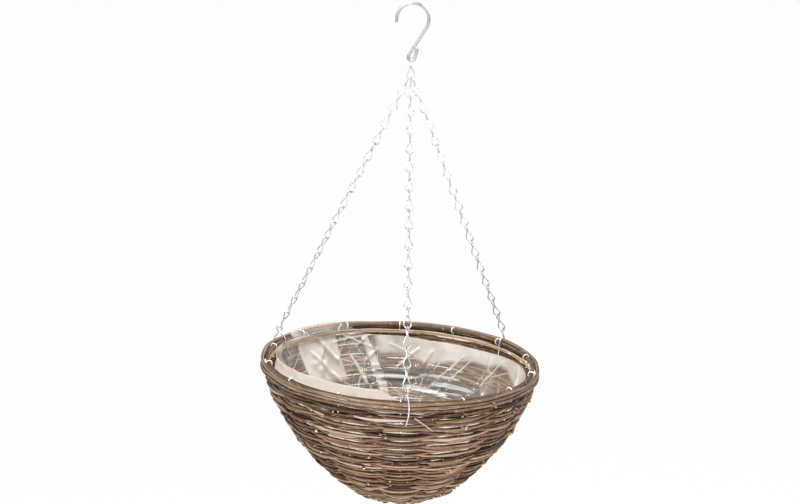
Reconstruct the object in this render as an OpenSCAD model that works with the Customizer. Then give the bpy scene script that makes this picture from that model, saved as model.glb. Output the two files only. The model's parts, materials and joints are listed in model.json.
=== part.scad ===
// Hanging basket woven from willow rods on a wire frame, with a film liner,
// three double-loop wire chains, a top link and a crook hook.
// Millimetres, +Z up. The origin is the seat of the hook, inside the top of its crook.

/* [Bowl] */
// Outside diameter of the rim
rim_d = 355; // [280:5:440]
// Depth from the middle of the rim to the middle of the base
bowl_depth = 173; // [130:1:220]
// Diameter of the round space at the middle of the base, where the weave starts
base_hole_d = 37; // [34:1:60]
// Lean of the wall at the rim, from the vertical, in degrees
wall_lean = 14.6; // [8:0.2:20]
// Lean of the wall where it turns into the base, in degrees
shoulder_lean = 52; // [45:1:60]
// How far the rim of this hand-made bowl dips to the right, in degrees
rim_dip = 0.85; // [0:0.05:3]
// How far the base sits to the right of the rim
base_shift = 4.5; // [0:0.5:12]

/* [Weave] */
// Number of courses of rods from the rim to the base
course_count = 17; // [12:1:19]
// Clear gap between two courses
course_gap = 2.6; // [2.5:0.1:3.4]
// Height that one rod takes up in a course
rod_pitch = 3.7; // [2.6:0.1:4.2]

/* [Rim] */
// Diameter of each rod laid round the outside of the rim
rim_rod_d = 4.3; // [3:0.1:6]
// Number of rods stacked round the outside of the rim
rim_rod_count = 3; // [2:1:4]
// Diameter of the single rod hoop inside the rim
hoop_d = 5; // [4:0.1:7]
// Diameter of the peeled rod under the hoop
inner_rim_rod_d = 4; // [3:0.1:4.6]
// Height of the rim's top above the middle of the rim
rim_top = 5; // [4:0.1:8]

/* [Wire frame] */
// Diameter of the rib wire
rib_d = 1.8; // [1.4:0.1:2.4]
// Number of ribs
rib_count = 14; // [10:1:16]
// Bearing of the first rib, counter-clockwise from the right, in degrees
rib_bearing = 270.6; // [262:0.2:271]
// Radius of the wire ring that the ribs end on, under the base
base_ring_r = 12; // [10:0.5:14]

/* [Liner] */
// Thickness of the film, as a solid
film = 0.8; // [0.6:0.1:1.2]
// Depth of the folds in the film between the ribs
film_fold = 2.4; // [0:0.2:5]
// Height of the film's edge above the middle of the rim
film_top = 3; // [0:0.5:6]

/* [Chains] */
// Diameter of the chain wire
chain_wire_d = 1.6; // [1.2:0.1:1.9]
// Number of links in each chain
link_count = 16; // [10:1:20]
// Height of the chains, from the middle of the rim up to the top link
chain_height = 360; // [260:5:460]
// Outside width of a link's upper loop
upper_loop_w = 8; // [7:0.2:9]
// Outside width of a link's lower loop
lower_loop_w = 10.8; // [9.4:0.2:12]
// Bearings of the three chains, left, right and front, in degrees
chain_bearings = [158.5, 37.2, 272.7];

/* [End hooks] */
// Diameter of the wire of each end hook
end_hook_d = 1.8; // [1.4:0.1:2]
// Height of the end hook's eye above the middle of the rim
end_eye_height = 19; // [17:0.5:26]
// Radius of the end hook's eye, to the middle of its wire
end_eye_r = 3.2; // [2.9:0.1:4]
// Turn of the end hooks about their own upright line, in degrees
end_hook_turn = 25; // [0:1:35]

/* [Top link] */
// Diameter of the top link's wire
top_link_wire_d = 2; // [1.8:0.1:2.2]
// Length of the top link between the middles of its end bends
top_link_length = 26; // [22:0.5:34]
// Outside width of the top link's upper loop
top_link_upper_w = 9.2; // [8.8:0.1:11]
// Outside width of the top link's lower loop
top_link_lower_w = 11; // [10.8:0.1:13]

/* [Hook] */
// Diameter of the hook's wire
hook_wire_d = 4; // [3.4:0.1:4.4]
// Inside diameter of the crook
crook_bore_d = 35; // [25:1:50]
// Angle below the level at which the crook runs out into the shank, in degrees
shank_lean = 31; // [24:1:38]
// Angle at which the crook's tip ends, counter-clockwise from the right, in degrees
crook_tip = 193; // [170:1:215]
// Inside diameter of the hook's eye
hook_eye_bore_d = 4.2; // [4:0.1:6]
// Length of the leg that comes back from the eye to the shank
return_leg = 11.3; // [8:0.1:11.4]
// Lean of that leg from the vertical, in degrees
return_leg_lean = 12.5; // [8:0.5:16]

/* [Hidden] */
// Clearance between two pieces that lie against each other
seat = 0.3;
// Clearance between stacked rods
stack_gap = 0.2;
// Rods of one layer overlap, and this share of their diameter shows
rod_step_share = 0.9;
// Straight steps in a rod's share of an outline
lobe_steps = 4;
// A bend is drawn this much fuller than its straight legs, as bent wire is
bend_share = 1.03;
// Length by which a straight leg runs into its bend
leg_run_in = 0.3;
// Where the neck of a double-loop link lies, as a share of its length
neck_share = 0.44;
// Half of the distance between the two wires of a neck, as a share of the wire
neck_x_share = 0.44;
// Half of the length over which the loops run into each other, as a share of the wire
neck_half_share = 0.5;
// Sideways places of the chains in the top link, in degrees about its lower loop's centre
chain_seat_deg = 48;
// End of the rib's open loop round the hoop, in degrees
rib_loop_tip = 250;
// Height of the hoop's middle above the middle of the rim
hoop_height = 1.6;
// How far the rim sits to the left of the hook, as a share of the base's shift
balance_share = 0.38;
// Sides and steps of the swept wires
wire_sides = 6;
rib_loop_step = 25;
// Round bodies
ring_fn = 64;
wire_fn = 16;
// Mesh of the film: columns to each rib, and rows down the wall
film_columns = 4;
film_rows = 13;

willow = ["#6b5343", "#74604c", "#5f4a3e", "#7b6553"];
rim_willow = "#54413a";
hoop_willow = "#6a5142";
peeled_willow = "#d9c39a";
galvanised = "#d5d8da";
film_colour = [0.86, 0.86, 0.84, 0.45];

function two_digits(k) = k < 10 ? str("0", k) : str(k);
function course_name(k) = str("course_", two_digits(k));
function rib_name(k) = str("rib_", two_digits(k));

// Lengths worked out from the driving sizes

hook_crook_r = (crook_bore_d + hook_wire_d) / 2;
hook_eye_r = (hook_eye_bore_d + hook_wire_d) / 2;
hook_turn_r = hook_crook_r + hook_eye_r;
shank_length = hook_turn_r / tan(shank_lean);
crook_z = -crook_bore_d / 2;
hook_eye_z = crook_z - hook_turn_r * sin(shank_lean) - shank_length * cos(shank_lean);
// Height of the wire's middle at the bottom of the hook's eye, on which the top link swings
link_swing_z = hook_eye_z - hook_eye_r;

top_upper_r = (top_link_upper_w - top_link_wire_d) / 2;
top_lower_r = (top_link_lower_w - top_link_wire_d) / 2;
top_link_top_z = link_swing_z + bend_share * (hook_wire_d + top_link_wire_d) / 2 + seat;
top_link_low_z = top_link_top_z - top_link_length;
// Centre of the top link's lower bend, about which the basket swings sideways
basket_swing_z = top_link_low_z + top_lower_r;

chain_seat_r = top_lower_r - bend_share * (top_link_wire_d + chain_wire_d) / 2 - seat;
rim_z = top_link_low_z - chain_height;
// The basket hangs with its weight under the hook, so its rim sits a little to the left
rim_x = -base_shift * balance_share;

rim_rod_r = (rim_d - rim_rod_d) / 2;
wall_r = rim_rod_r - rim_rod_d / 2 - seat - rib_d / 2;
base_hole_r = base_hole_d / 2;
rib_loop_r = (hoop_d + rib_d) / 2 + seat;
hoop_r = wall_r - rib_loop_r;
rim_rod_pitch = rim_rod_d + stack_gap;
rim_bottom = rim_top - rim_rod_count * rim_rod_pitch + stack_gap;
film_offset = rib_d + seat;

// The wall's middle as two arcs, by the distance s along it from the rim

wall_run = wall_r - base_hole_r;
lean_cos = cos(wall_lean) - cos(shoulder_lean);
lean_sin = sin(shoulder_lean) - sin(wall_lean);
arc_det = lean_cos * (1 - sin(shoulder_lean)) - cos(shoulder_lean) * lean_sin;
wall_arc_r = (wall_run * (1 - sin(shoulder_lean)) - cos(shoulder_lean) * bowl_depth) / arc_det;
base_arc_r = (lean_cos * bowl_depth - lean_sin * wall_run) / arc_det;
wall_arc = wall_arc_r * (shoulder_lean - wall_lean) * PI / 180;
base_arc = base_arc_r * (90 - shoulder_lean) * PI / 180;
wall_length = wall_arc + base_arc;

function wall_angle(s) =
  s < wall_arc ? wall_lean + s / wall_arc_r * 180 / PI
               : shoulder_lean + (s - wall_arc) / base_arc_r * 180 / PI;
function wall_point(s) =
  let (a = wall_angle(s))
  s < wall_arc
    ? [wall_r - wall_arc_r * (cos(wall_lean) - cos(a)), -wall_arc_r * (sin(a) - sin(wall_lean))]
    : [wall_r - wall_arc_r * lean_cos - base_arc_r * (cos(shoulder_lean) - cos(a)),
       -wall_arc_r * lean_sin - base_arc_r * (sin(a) - sin(shoulder_lean))];
function wall_offset(s, outward) =
  wall_point(s) + outward * [cos(wall_angle(s)), -sin(wall_angle(s))];

// Courses: the gaps between them are spaced evenly along the wall

first_gap_depth = course_gap / 2 - rim_bottom;
first_s = (asin(sin(wall_lean) + first_gap_depth / wall_arc_r) - wall_lean) * wall_arc_r * PI / 180;
function gap_s(k) = first_s + (wall_length - first_s) * k / course_count;
function gap_point(k) = wall_point(gap_s(k));
function course_middle(k) = (gap_point(k - 1) + gap_point(k)) / 2;
function course_way(k) =
  let (way = gap_point(k) - gap_point(k - 1)) way / norm(way);
function course_height(k) = norm(gap_point(k) - gap_point(k - 1)) - course_gap;
function rods_in(k) = max(2, round(course_height(k) / rod_pitch));
function rod_d(k) = course_height(k) / (1 + (rods_in(k) - 1) * rod_step_share);
function layer_offset(k) = rib_d / 2 + seat + rod_d(k) / 2;

// Outline of rods side by side along +X. The rods meet in grooves, and each rod's share of the
// outline is a lobe
function lobe(middle, d, from, to) =
  [for (i = [0:lobe_steps - 1])
    let (turn = from + (to - from) * i / lobe_steps)
    [middle + d / 2 * cos(turn), d / 2 * sin(turn)]];
function rods_outline(count, d) =
  let (meet = acos(rod_step_share), last = count - 1, step = d * rod_step_share)
  concat(
    [for (j = [last:-1:0])
      each lobe((j - last / 2) * step, d, j == last ? 0 : meet, j == 0 ? 180 : 180 - meet)],
    [for (j = [0:last])
      each lobe((j - last / 2) * step, d, j == 0 ? 180 : 180 + meet, j == last ? 360 : 360 - meet)]
  );

// The hand-made lean of the bowl: each level dips and shifts a little more than the one below

function depth_share(z) = min(1, max(0, -z / bowl_depth));
function level_dip(z) = rim_dip * (1 - depth_share(z));
function level_shift(z) = base_shift * depth_share(z);
function bowl_point(bearing, r, aside, z) =
  let (x = r * cos(bearing) - aside * sin(bearing),
       y = r * sin(bearing) + aside * cos(bearing),
       dip = level_dip(z))
  [rim_x + level_shift(z) + x * cos(dip), y, rim_z + z - x * sin(dip)];

module at_level(z) {
  translate([rim_x + level_shift(z), 0, rim_z + z])
    rotate([0, level_dip(z), 0])
      children();
}

// A ring of round section, level with the bowl at height z
module bowl_ring(r, z, d) {
  at_level(z)
    rotate_extrude($fn = ring_fn)
      translate([r, 0])
        circle(d = d, $fn = wire_fn);
}

// Swept wires: a closed tube along points that lie close to one plane with the given normal

function unit(v) = v / norm(v);
function along(points, i) =
  let (last = len(points) - 1)
  unit(points[min(last, i + 1)] - points[max(0, i - 1)]);
function tube_ring(centre, way, plane_normal, d) =
  let (u = unit(cross(plane_normal, way)), v = cross(way, u))
  [for (j = [0:wire_sides - 1])
    centre + d / 2 * (cos(j * 360 / wire_sides) * u + sin(j * 360 / wire_sides) * v)];

module tube(points, plane_normal, d) {
  last = len(points) - 1;
  corners = [for (i = [0:last]) each tube_ring(points[i], along(points, i), plane_normal, d)];
  sides = [for (i = [0:last - 1]) for (j = [0:wire_sides - 1])
    let (a = i * wire_sides + j, b = i * wire_sides + (j + 1) % wire_sides)
    each [[a, a + wire_sides, b], [b, a + wire_sides, b + wire_sides]]];
  caps = [[for (j = [0:wire_sides - 1]) j],
          [for (j = [wire_sides - 1:-1:0]) last * wire_sides + j]];
  polyhedron(corners, concat(sides, caps));
}

// Corner cutting, which rounds a route of points
function rounded_once(points) =
  let (last = len(points) - 1)
  concat(
    [points[0]],
    [for (i = [0:last - 1]) each [
      points[i] + (points[i + 1] - points[i]) / 4,
      points[i] + (points[i + 1] - points[i]) * 3 / 4]],
    [points[last]]
  );

// Bent wire in the XZ plane

module bend(r, d, from, to) {
  rotate([90, 0, 0])
    rotate([0, 0, from])
      rotate_extrude(angle = to - from, $fn = ring_fn)
        translate([r, 0])
          circle(d = d * bend_share, $fn = wire_fn);
}

// A straight leg that starts at the point start = [x, z] and leans clockwise from +Z
module leg(start, lean, length, d) {
  translate([start.x, 0, start.y])
    rotate([0, lean, 0])
      translate([0, 0, -leg_run_in])
        cylinder(h = length + 2 * leg_run_in, d = d, $fn = wire_fn);
}

// Half of a double-loop link: a bend of radius r at the height far_z, and two legs to the neck
module link_loop(r, far_z, neck_z, d) {
  neck_x = d * neck_x_share;
  centre_z = far_z - r;
  reach = norm([neck_x, centre_z - neck_z]);
  lean = asin(r / reach) - atan(neck_x / (centre_z - neck_z));
  length = sqrt(reach * reach - r * r);
  translate([0, 0, centre_z]) bend(r, d, -lean, 180 + lean);
  for (side = [-1, 1])
    leg([side * neck_x, neck_z], side * lean, length, d);
}

// A double-loop link that hangs from the origin down: the upper loop lies in the YZ plane
// and the lower loop in the XZ plane
module double_loop_link(length, upper_w, lower_w, d) {
  neck_z = length * neck_share;
  union() {
    rotate([0, 0, 90])
      translate([0, 0, -neck_z])
        link_loop((upper_w - d) / 2, neck_z, -d * neck_half_share, d);
    mirror([0, 0, 1])
      translate([0, 0, neck_z])
        link_loop((lower_w - d) / 2, length - neck_z, -d * neck_half_share, d);
  }
}

// Hook, top link and chains

module hook() {
  color(galvanised) union() {
    translate([0, 0, crook_z]) bend(hook_crook_r, hook_wire_d, -shank_lean, crook_tip);
    leg([hook_crook_r * cos(shank_lean), crook_z - hook_crook_r * sin(shank_lean)],
        180 + shank_lean, shank_length, hook_wire_d);
    translate([0, 0, hook_eye_z])
      bend(hook_eye_r, hook_wire_d, 180 - shank_lean, 360 - return_leg_lean);
    leg([hook_eye_r * cos(return_leg_lean), hook_eye_z - hook_eye_r * sin(return_leg_lean)],
        return_leg_lean, return_leg, hook_wire_d);
  }
}

module top_link() {
  color(galvanised)
    translate([0, 0, top_link_top_z])
      double_loop_link(top_link_length, top_link_upper_w, top_link_lower_w, top_link_wire_d);
}

// Which seat each chain takes in the top link: left, right, front
chain_seat_turns = [-chain_seat_deg, chain_seat_deg, 0];

function chain_seat(c) =
  let (turn = chain_seat_turns[c])
  [chain_seat_r * sin(turn), 0, basket_swing_z - chain_seat_r * cos(turn)];
function end_eye(c) = bowl_point(chain_bearings[c], wall_r, 0, end_eye_height);
// A chain that leans fore or aft pulls its first loop round the top link's wire
function chain_top(c) =
  chain_seat(c) - [0, (top_lower_r - chain_seat_r) * unit(end_eye(c) - chain_seat(c)).y, 0];
function chain_way(c) = unit(end_eye(c) - chain_top(c));
function chain_span(c) =
  norm(end_eye(c) - chain_top(c)) - end_eye_r + (end_hook_d + chain_wire_d) / 2 + seat;
function link_length(c) =
  (chain_span(c) + (link_count - 1) * (chain_wire_d + seat)) / link_count;
function link_step(c) = link_length(c) - chain_wire_d - seat;
function end_hook_normal(c) =
  let (b = chain_bearings[c] + end_hook_turn) [-sin(b), cos(b), 0];
// Turn about the chain from its first loop to the end hook's eye, at most a quarter turn
function chain_twist(c) =
  let (w = chain_way(c),
       n = unit(cross([0, 1, 0], w)),
       h = unit(end_hook_normal(c) - (end_hook_normal(c) * w) * w),
       t = atan2(cross(n, h) * w, n * h))
  t > 90 ? t - 180 : t < -90 ? t + 180 : t;

module chain(c) {
  w = chain_way(c);
  n = unit(cross([0, 1, 0], w));
  m = cross(w, n);
  for (k = [0:link_count - 1]) {
    turn = chain_twist(c) * k / link_count;
    x = cos(turn) * n + sin(turn) * m;
    z = -w;
    y = cross(z, x);
    at = chain_top(c) + k * link_step(c) * w;
    color(galvanised)
      multmatrix([[x.x, y.x, z.x, at.x], [x.y, y.y, z.y, at.y], [x.z, y.z, z.z, at.z]])
        double_loop_link(link_length(c), upper_loop_w, lower_loop_w, chain_wire_d);
  }
}

// An end hook: an eye for the chain, a leg outside the rim, a pass through the weave under the
// first course, and a leg back up inside the rim
module end_hook(c) {
  bearing = chain_bearings[c];
  clear = seat + end_hook_d / 2;
  weave_s = gap_s(1);
  weave_clear = layer_offset(1) + rod_d(1) / 2 + clear;
  outside_r = rim_d / 2 + clear;
  inside_r = hoop_r - hoop_d / 2 - clear;
  neck_z = end_eye_height - end_eye_r - end_hook_d;
  neck_half_w = end_hook_d / 2 + stack_gap;
  step = 30;
  outline = rounded_once(rounded_once([
    [wall_r - neck_half_w, neck_z - end_hook_d],
    [inside_r, rim_top + clear],
    [inside_r, hoop_height - hoop_d],
    wall_offset(weave_s, -weave_clear) + [-seat, end_hook_d],
    wall_offset(weave_s, -weave_clear),
    wall_offset(weave_s, weave_clear),
    wall_offset(weave_s, weave_clear) + [end_hook_d, end_hook_d],
    [outside_r + seat, rim_bottom],
    [outside_r, rim_top],
    [wall_r + neck_half_w + seat, neck_z - end_hook_d],
    [wall_r + neck_half_w, neck_z]
  ]));
  eye = [for (a = [-50:step:220]) [wall_r + end_eye_r * cos(a), end_eye_height + end_eye_r * sin(a)]];
  route = [for (p = concat(outline, eye))
    bowl_point(bearing, p.x, (p.x - wall_r) * tan(end_hook_turn), p.y)];
  color(galvanised) tube(route, end_hook_normal(c), end_hook_d);
}

// Rim

module rim_rod(k) {
  color(rim_willow)
    bowl_ring(rim_rod_r, rim_top - rim_rod_d / 2 - (k - 1) * rim_rod_pitch, rim_rod_d);
}

module hoop() {
  color(hoop_willow) bowl_ring(hoop_r, hoop_height, hoop_d);
}

module inner_rim_rod() {
  z = rim_bottom + inner_rim_rod_d / 2;
  color(peeled_willow)
    bowl_ring(wall_r + z * tan(wall_lean) - rib_d / 2 - seat - inner_rim_rod_d / 2, z, inner_rim_rod_d);
}

// One layer of a course: rods side by side, in front of the ribs (side 1) or behind them (side -1)
module course_layer(k, side) {
  z = course_middle(k).y;
  way = course_way(k);
  out = [-way.y, way.x];
  middle = [course_middle(k).x, 0] + side * layer_offset(k) * out;
  at_level(z)
    rotate_extrude($fn = ring_fn)
      polygon([for (p = rods_outline(rods_in(k), rod_d(k))) middle + p.x * way + p.y * out]);
}

module course(k) {
  color(willow[k % len(willow)]) course_layer(k, 1);
}

module inner_courses() {
  for (k = [1:course_count])
    color(willow[(k + 2) % len(willow)]) course_layer(k, -1);
}

// Wire frame

module rib(k) {
  bearing = rib_bearing + (k - 1) * 360 / rib_count;
  loop = [for (a = [rib_loop_tip:-rib_loop_step:0])
    [hoop_r + rib_loop_r * cos(a), hoop_height + rib_loop_r * sin(a)]];
  wall = [for (g = [0:course_count]) gap_point(g)];
  end = [base_ring_r + rib_d + seat, -bowl_depth];
  route = [for (p = concat(loop, wall, [end])) bowl_point(bearing, p.x, 0, p.y)];
  color(galvanised) tube(route, [-sin(bearing), cos(bearing), 0], rib_d);
}

module base_ring() {
  color(galvanised) bowl_ring(base_ring_r, -bowl_depth, rib_d);
}

// The start of the weave, a tight coil of rods under the base ring
module base_disc() {
  d = rod_d(course_count);
  outer_r = base_hole_r - course_gap / 2 - d / 2;
  turns = ceil(outer_r / (d * rod_step_share));
  step = outer_r / turns;
  meet = acos(step / d);
  top = [for (j = [turns:-1:0])
    each lobe(j * step, d, j == turns ? 0 : meet, j == 0 ? 90 : 180 - meet)];
  low = [for (i = [len(top) - 1:-1:1]) [top[i].x, -top[i].y]];
  color(willow[1])
    at_level(-bowl_depth)
      translate([0, 0, -layer_offset(course_count)])
        rotate_extrude($fn = ring_fn)
          polygon(concat(top, [[0, d / 2], [0, -d / 2]], low));
}

// Film liner: a thin bowl inside the weave, drawn in at the rim where the hooks and loops pass

film_clear = layer_offset(1) + rod_d(course_count) / 2 + seat + film;
film_neck = hoop_d + film_offset + film;
film_columns_all = film_columns * rib_count;
function film_s(i) = wall_length * i / film_rows;
// The film stands further in near the rim
function film_in(s) =
  let (near = max(0, 1 - s / gap_s(4)))
  film_clear + (film_neck + film_offset - film_clear) * near;
function film_fold_at(column, s) =
  let (turn = 360 * column / film_columns, fade = max(0, 1 - s / wall_length))
  film_fold * fade * (1 - cos(turn)) / 2 * (1 + 0.5 * sin(5 * 360 * column / film_columns_all));
function film_corner(i, column, inward) =
  let (s = film_s(i),
       p = wall_offset(s, -film_in(s) - film_fold_at(column, s) - inward),
       z = i == 0 ? film_top : p.y)
  bowl_point(rib_bearing + 360 * column / film_columns_all, p.x, 0, z);
function film_pole(inward) =
  bowl_point(0, 0, 0, -bowl_depth + film_in(wall_length) + inward);

module liner() {
  n = film_columns_all;
  rows = film_rows;
  shell = (rows + 1) * n;
  outer = [for (i = [0:rows]) for (c = [0:n - 1]) film_corner(i, c, 0)];
  inner = [for (i = [0:rows]) for (c = [0:n - 1]) film_corner(i, c, film)];
  corners = concat(outer, inner, [film_pole(0), film_pole(film)]);
  walls = [for (i = [0:rows - 1]) for (c = [0:n - 1])
    let (a = i * n + c, b = i * n + (c + 1) % n)
    each [[a, b, a + n], [b, b + n, a + n],
          [shell + a, shell + a + n, shell + b], [shell + b, shell + a + n, shell + b + n]]];
  ends = [for (c = [0:n - 1])
    let (d = (c + 1) % n, low = rows * n)
    each [[c, shell + c, d], [d, shell + c, shell + d],
          [low + c, low + d, 2 * shell], [shell + low + d, shell + low + c, 2 * shell + 1]]];
  color(film_colour) polyhedron(corners, concat(walls, ends));
}

hook();
top_link();
chain(0);  // chain_left
chain(1);  // chain_right
chain(2);  // chain_front
end_hook(0);  // end_hook_left
end_hook(1);  // end_hook_right
end_hook(2);  // end_hook_front
hoop();
inner_rim_rod();
for (k = [1:rim_rod_count]) rim_rod(k);
for (k = [1:course_count]) course(k);
inner_courses();
for (k = [1:rib_count]) rib(k);
base_ring();
base_disc();
liner();
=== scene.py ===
"""Looks of a hanging willow basket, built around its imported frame.

The basket hangs from a crook hook by three chains. Its wall is woven from willow rods that cross in front of
and behind thin wire ribs, and a crumpled sheet of clear film lines it. Lengths are in millimetres up to the
point where a mesh is written, and metres from there on.
"""

import json
import logging
import math
from collections.abc import Sequence
from dataclasses import dataclass, field
from enum import Enum

import bpy
import numpy as np
from mathutils import Matrix, Vector

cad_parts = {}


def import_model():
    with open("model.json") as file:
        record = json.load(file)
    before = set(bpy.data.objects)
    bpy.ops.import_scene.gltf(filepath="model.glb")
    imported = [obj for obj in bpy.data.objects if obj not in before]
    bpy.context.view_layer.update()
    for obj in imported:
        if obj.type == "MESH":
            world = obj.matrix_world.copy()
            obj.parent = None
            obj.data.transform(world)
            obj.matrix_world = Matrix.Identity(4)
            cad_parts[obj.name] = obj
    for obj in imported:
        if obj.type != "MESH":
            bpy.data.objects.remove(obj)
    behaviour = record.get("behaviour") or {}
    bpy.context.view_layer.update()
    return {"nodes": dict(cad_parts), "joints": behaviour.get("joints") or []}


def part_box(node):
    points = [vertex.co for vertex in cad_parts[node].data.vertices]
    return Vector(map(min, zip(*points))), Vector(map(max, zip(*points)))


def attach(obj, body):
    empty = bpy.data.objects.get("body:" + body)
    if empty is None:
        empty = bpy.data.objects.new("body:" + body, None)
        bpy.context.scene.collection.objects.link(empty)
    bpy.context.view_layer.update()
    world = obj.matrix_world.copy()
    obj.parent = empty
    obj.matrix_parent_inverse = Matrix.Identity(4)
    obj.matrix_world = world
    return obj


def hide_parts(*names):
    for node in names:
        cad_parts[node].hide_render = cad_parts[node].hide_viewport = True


LOG = logging.getLogger("basket")
MM = 0.001
FULL_TURN = 360.0
HALF_TURN = 180.0
TINY = 1e-9
GRAIN_RANGE = 40.0
CUT_MARK = 2.0
WHITE = (1.0, 1.0, 1.0)

# Short names for the types that come up most.
Array = np.ndarray
Numbers = Array | float
Pair = tuple[float, float]
Triple = tuple[float, float, float]
Colour = Triple
Socket = bpy.types.NodeSocket
Node = bpy.types.Node
Material = bpy.types.Material
Piece = bpy.types.Object


class Slot(Enum):
    """The record's material slots."""

    HOOK = "hook_wire"
    CHAIN = "chain_wire"
    FRAME = "frame_wire"
    WILLOW = "willow_rods"
    RIM = "rim_rods"
    PEELED = "peeled_rods"
    FILM = "film"


def wave(turn: Numbers) -> Numbers:
    """Returns the cosine of an angle given in degrees."""
    return np.cos(np.radians(turn))


def sway(turn: Numbers) -> Numbers:
    """Returns the sine of an angle given in degrees."""
    return np.sin(np.radians(turn))


def ease(x: Numbers, low: float, high: float) -> Array:
    """Eases from 0 at low to 1 at high.

    Args:
        x: the values to ease.
        low: where the result is 0. It may lie above high.
        high: where the result is 1.

    Returns:
        The eased values, from 0 to 1.
    """
    t = np.clip((np.asarray(x, float) - low) / (high - low), 0.0, 1.0)
    return t * t * (3.0 - 2.0 * t)


def bearing_gap(bearing: Numbers, middle: Numbers) -> Array:
    """Returns the signed difference between bearings and a middle one, from -180 to 180 degrees."""
    return (np.asarray(bearing, float) - middle + HALF_TURN) % FULL_TURN - HALF_TURN


def deselect() -> None:
    """Deselects everything, the frame's nodes too."""
    bpy.ops.object.select_all(action="DESELECT")


def write(mesh: bpy.types.Mesh, name: str, numbers: Array) -> None:
    """Stores one attribute on a mesh's vertices.

    Args:
        mesh: the mesh.
        name: the attribute's name.
        numbers: for each vertex one number, or a row of three.
    """
    kind, part = ("FLOAT", "value") if numbers.ndim == 1 else ("FLOAT_VECTOR", "vector")
    attribute = mesh.attributes.new(name, kind, "POINT")
    attribute.data.foreach_set(part, np.ascontiguousarray(numbers, np.float32).ravel())


def merge_doubles(gap: float, inside: bool) -> None:
    """Merges doubled vertices of the active mesh and turns its faces all one way.

    Args:
        gap: how far apart doubled vertices may lie, in millimetres.
        inside: whether the faces point inwards.
    """
    bpy.ops.object.mode_set(mode="EDIT")
    bpy.ops.mesh.select_all(action="SELECT")
    bpy.ops.mesh.remove_doubles(threshold=gap * MM)
    bpy.ops.mesh.normals_make_consistent(inside=inside)
    bpy.ops.object.mode_set(mode="OBJECT")


def cover(mesh: bpy.types.Mesh, finish: Material) -> None:
    """Gives a mesh one material."""
    mesh.materials.clear()
    mesh.materials.append(finish)


def rounded(points: Array, rounds: int) -> Array:
    """Rounds the corners of a route by cutting them.

    Args:
        points: the route's points, one row each.
        rounds: how many times every corner is cut.

    Returns:
        The rounded route, with the same two ends.
    """
    for _ in range(rounds):
        near = points[:-1] * 0.75 + points[1:] * 0.25
        far = points[:-1] * 0.25 + points[1:] * 0.75
        middle = np.stack([near, far], axis=1).reshape(-1, points.shape[1])
        points = np.vstack([points[:1], middle, points[-1:]])
    return points


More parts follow.
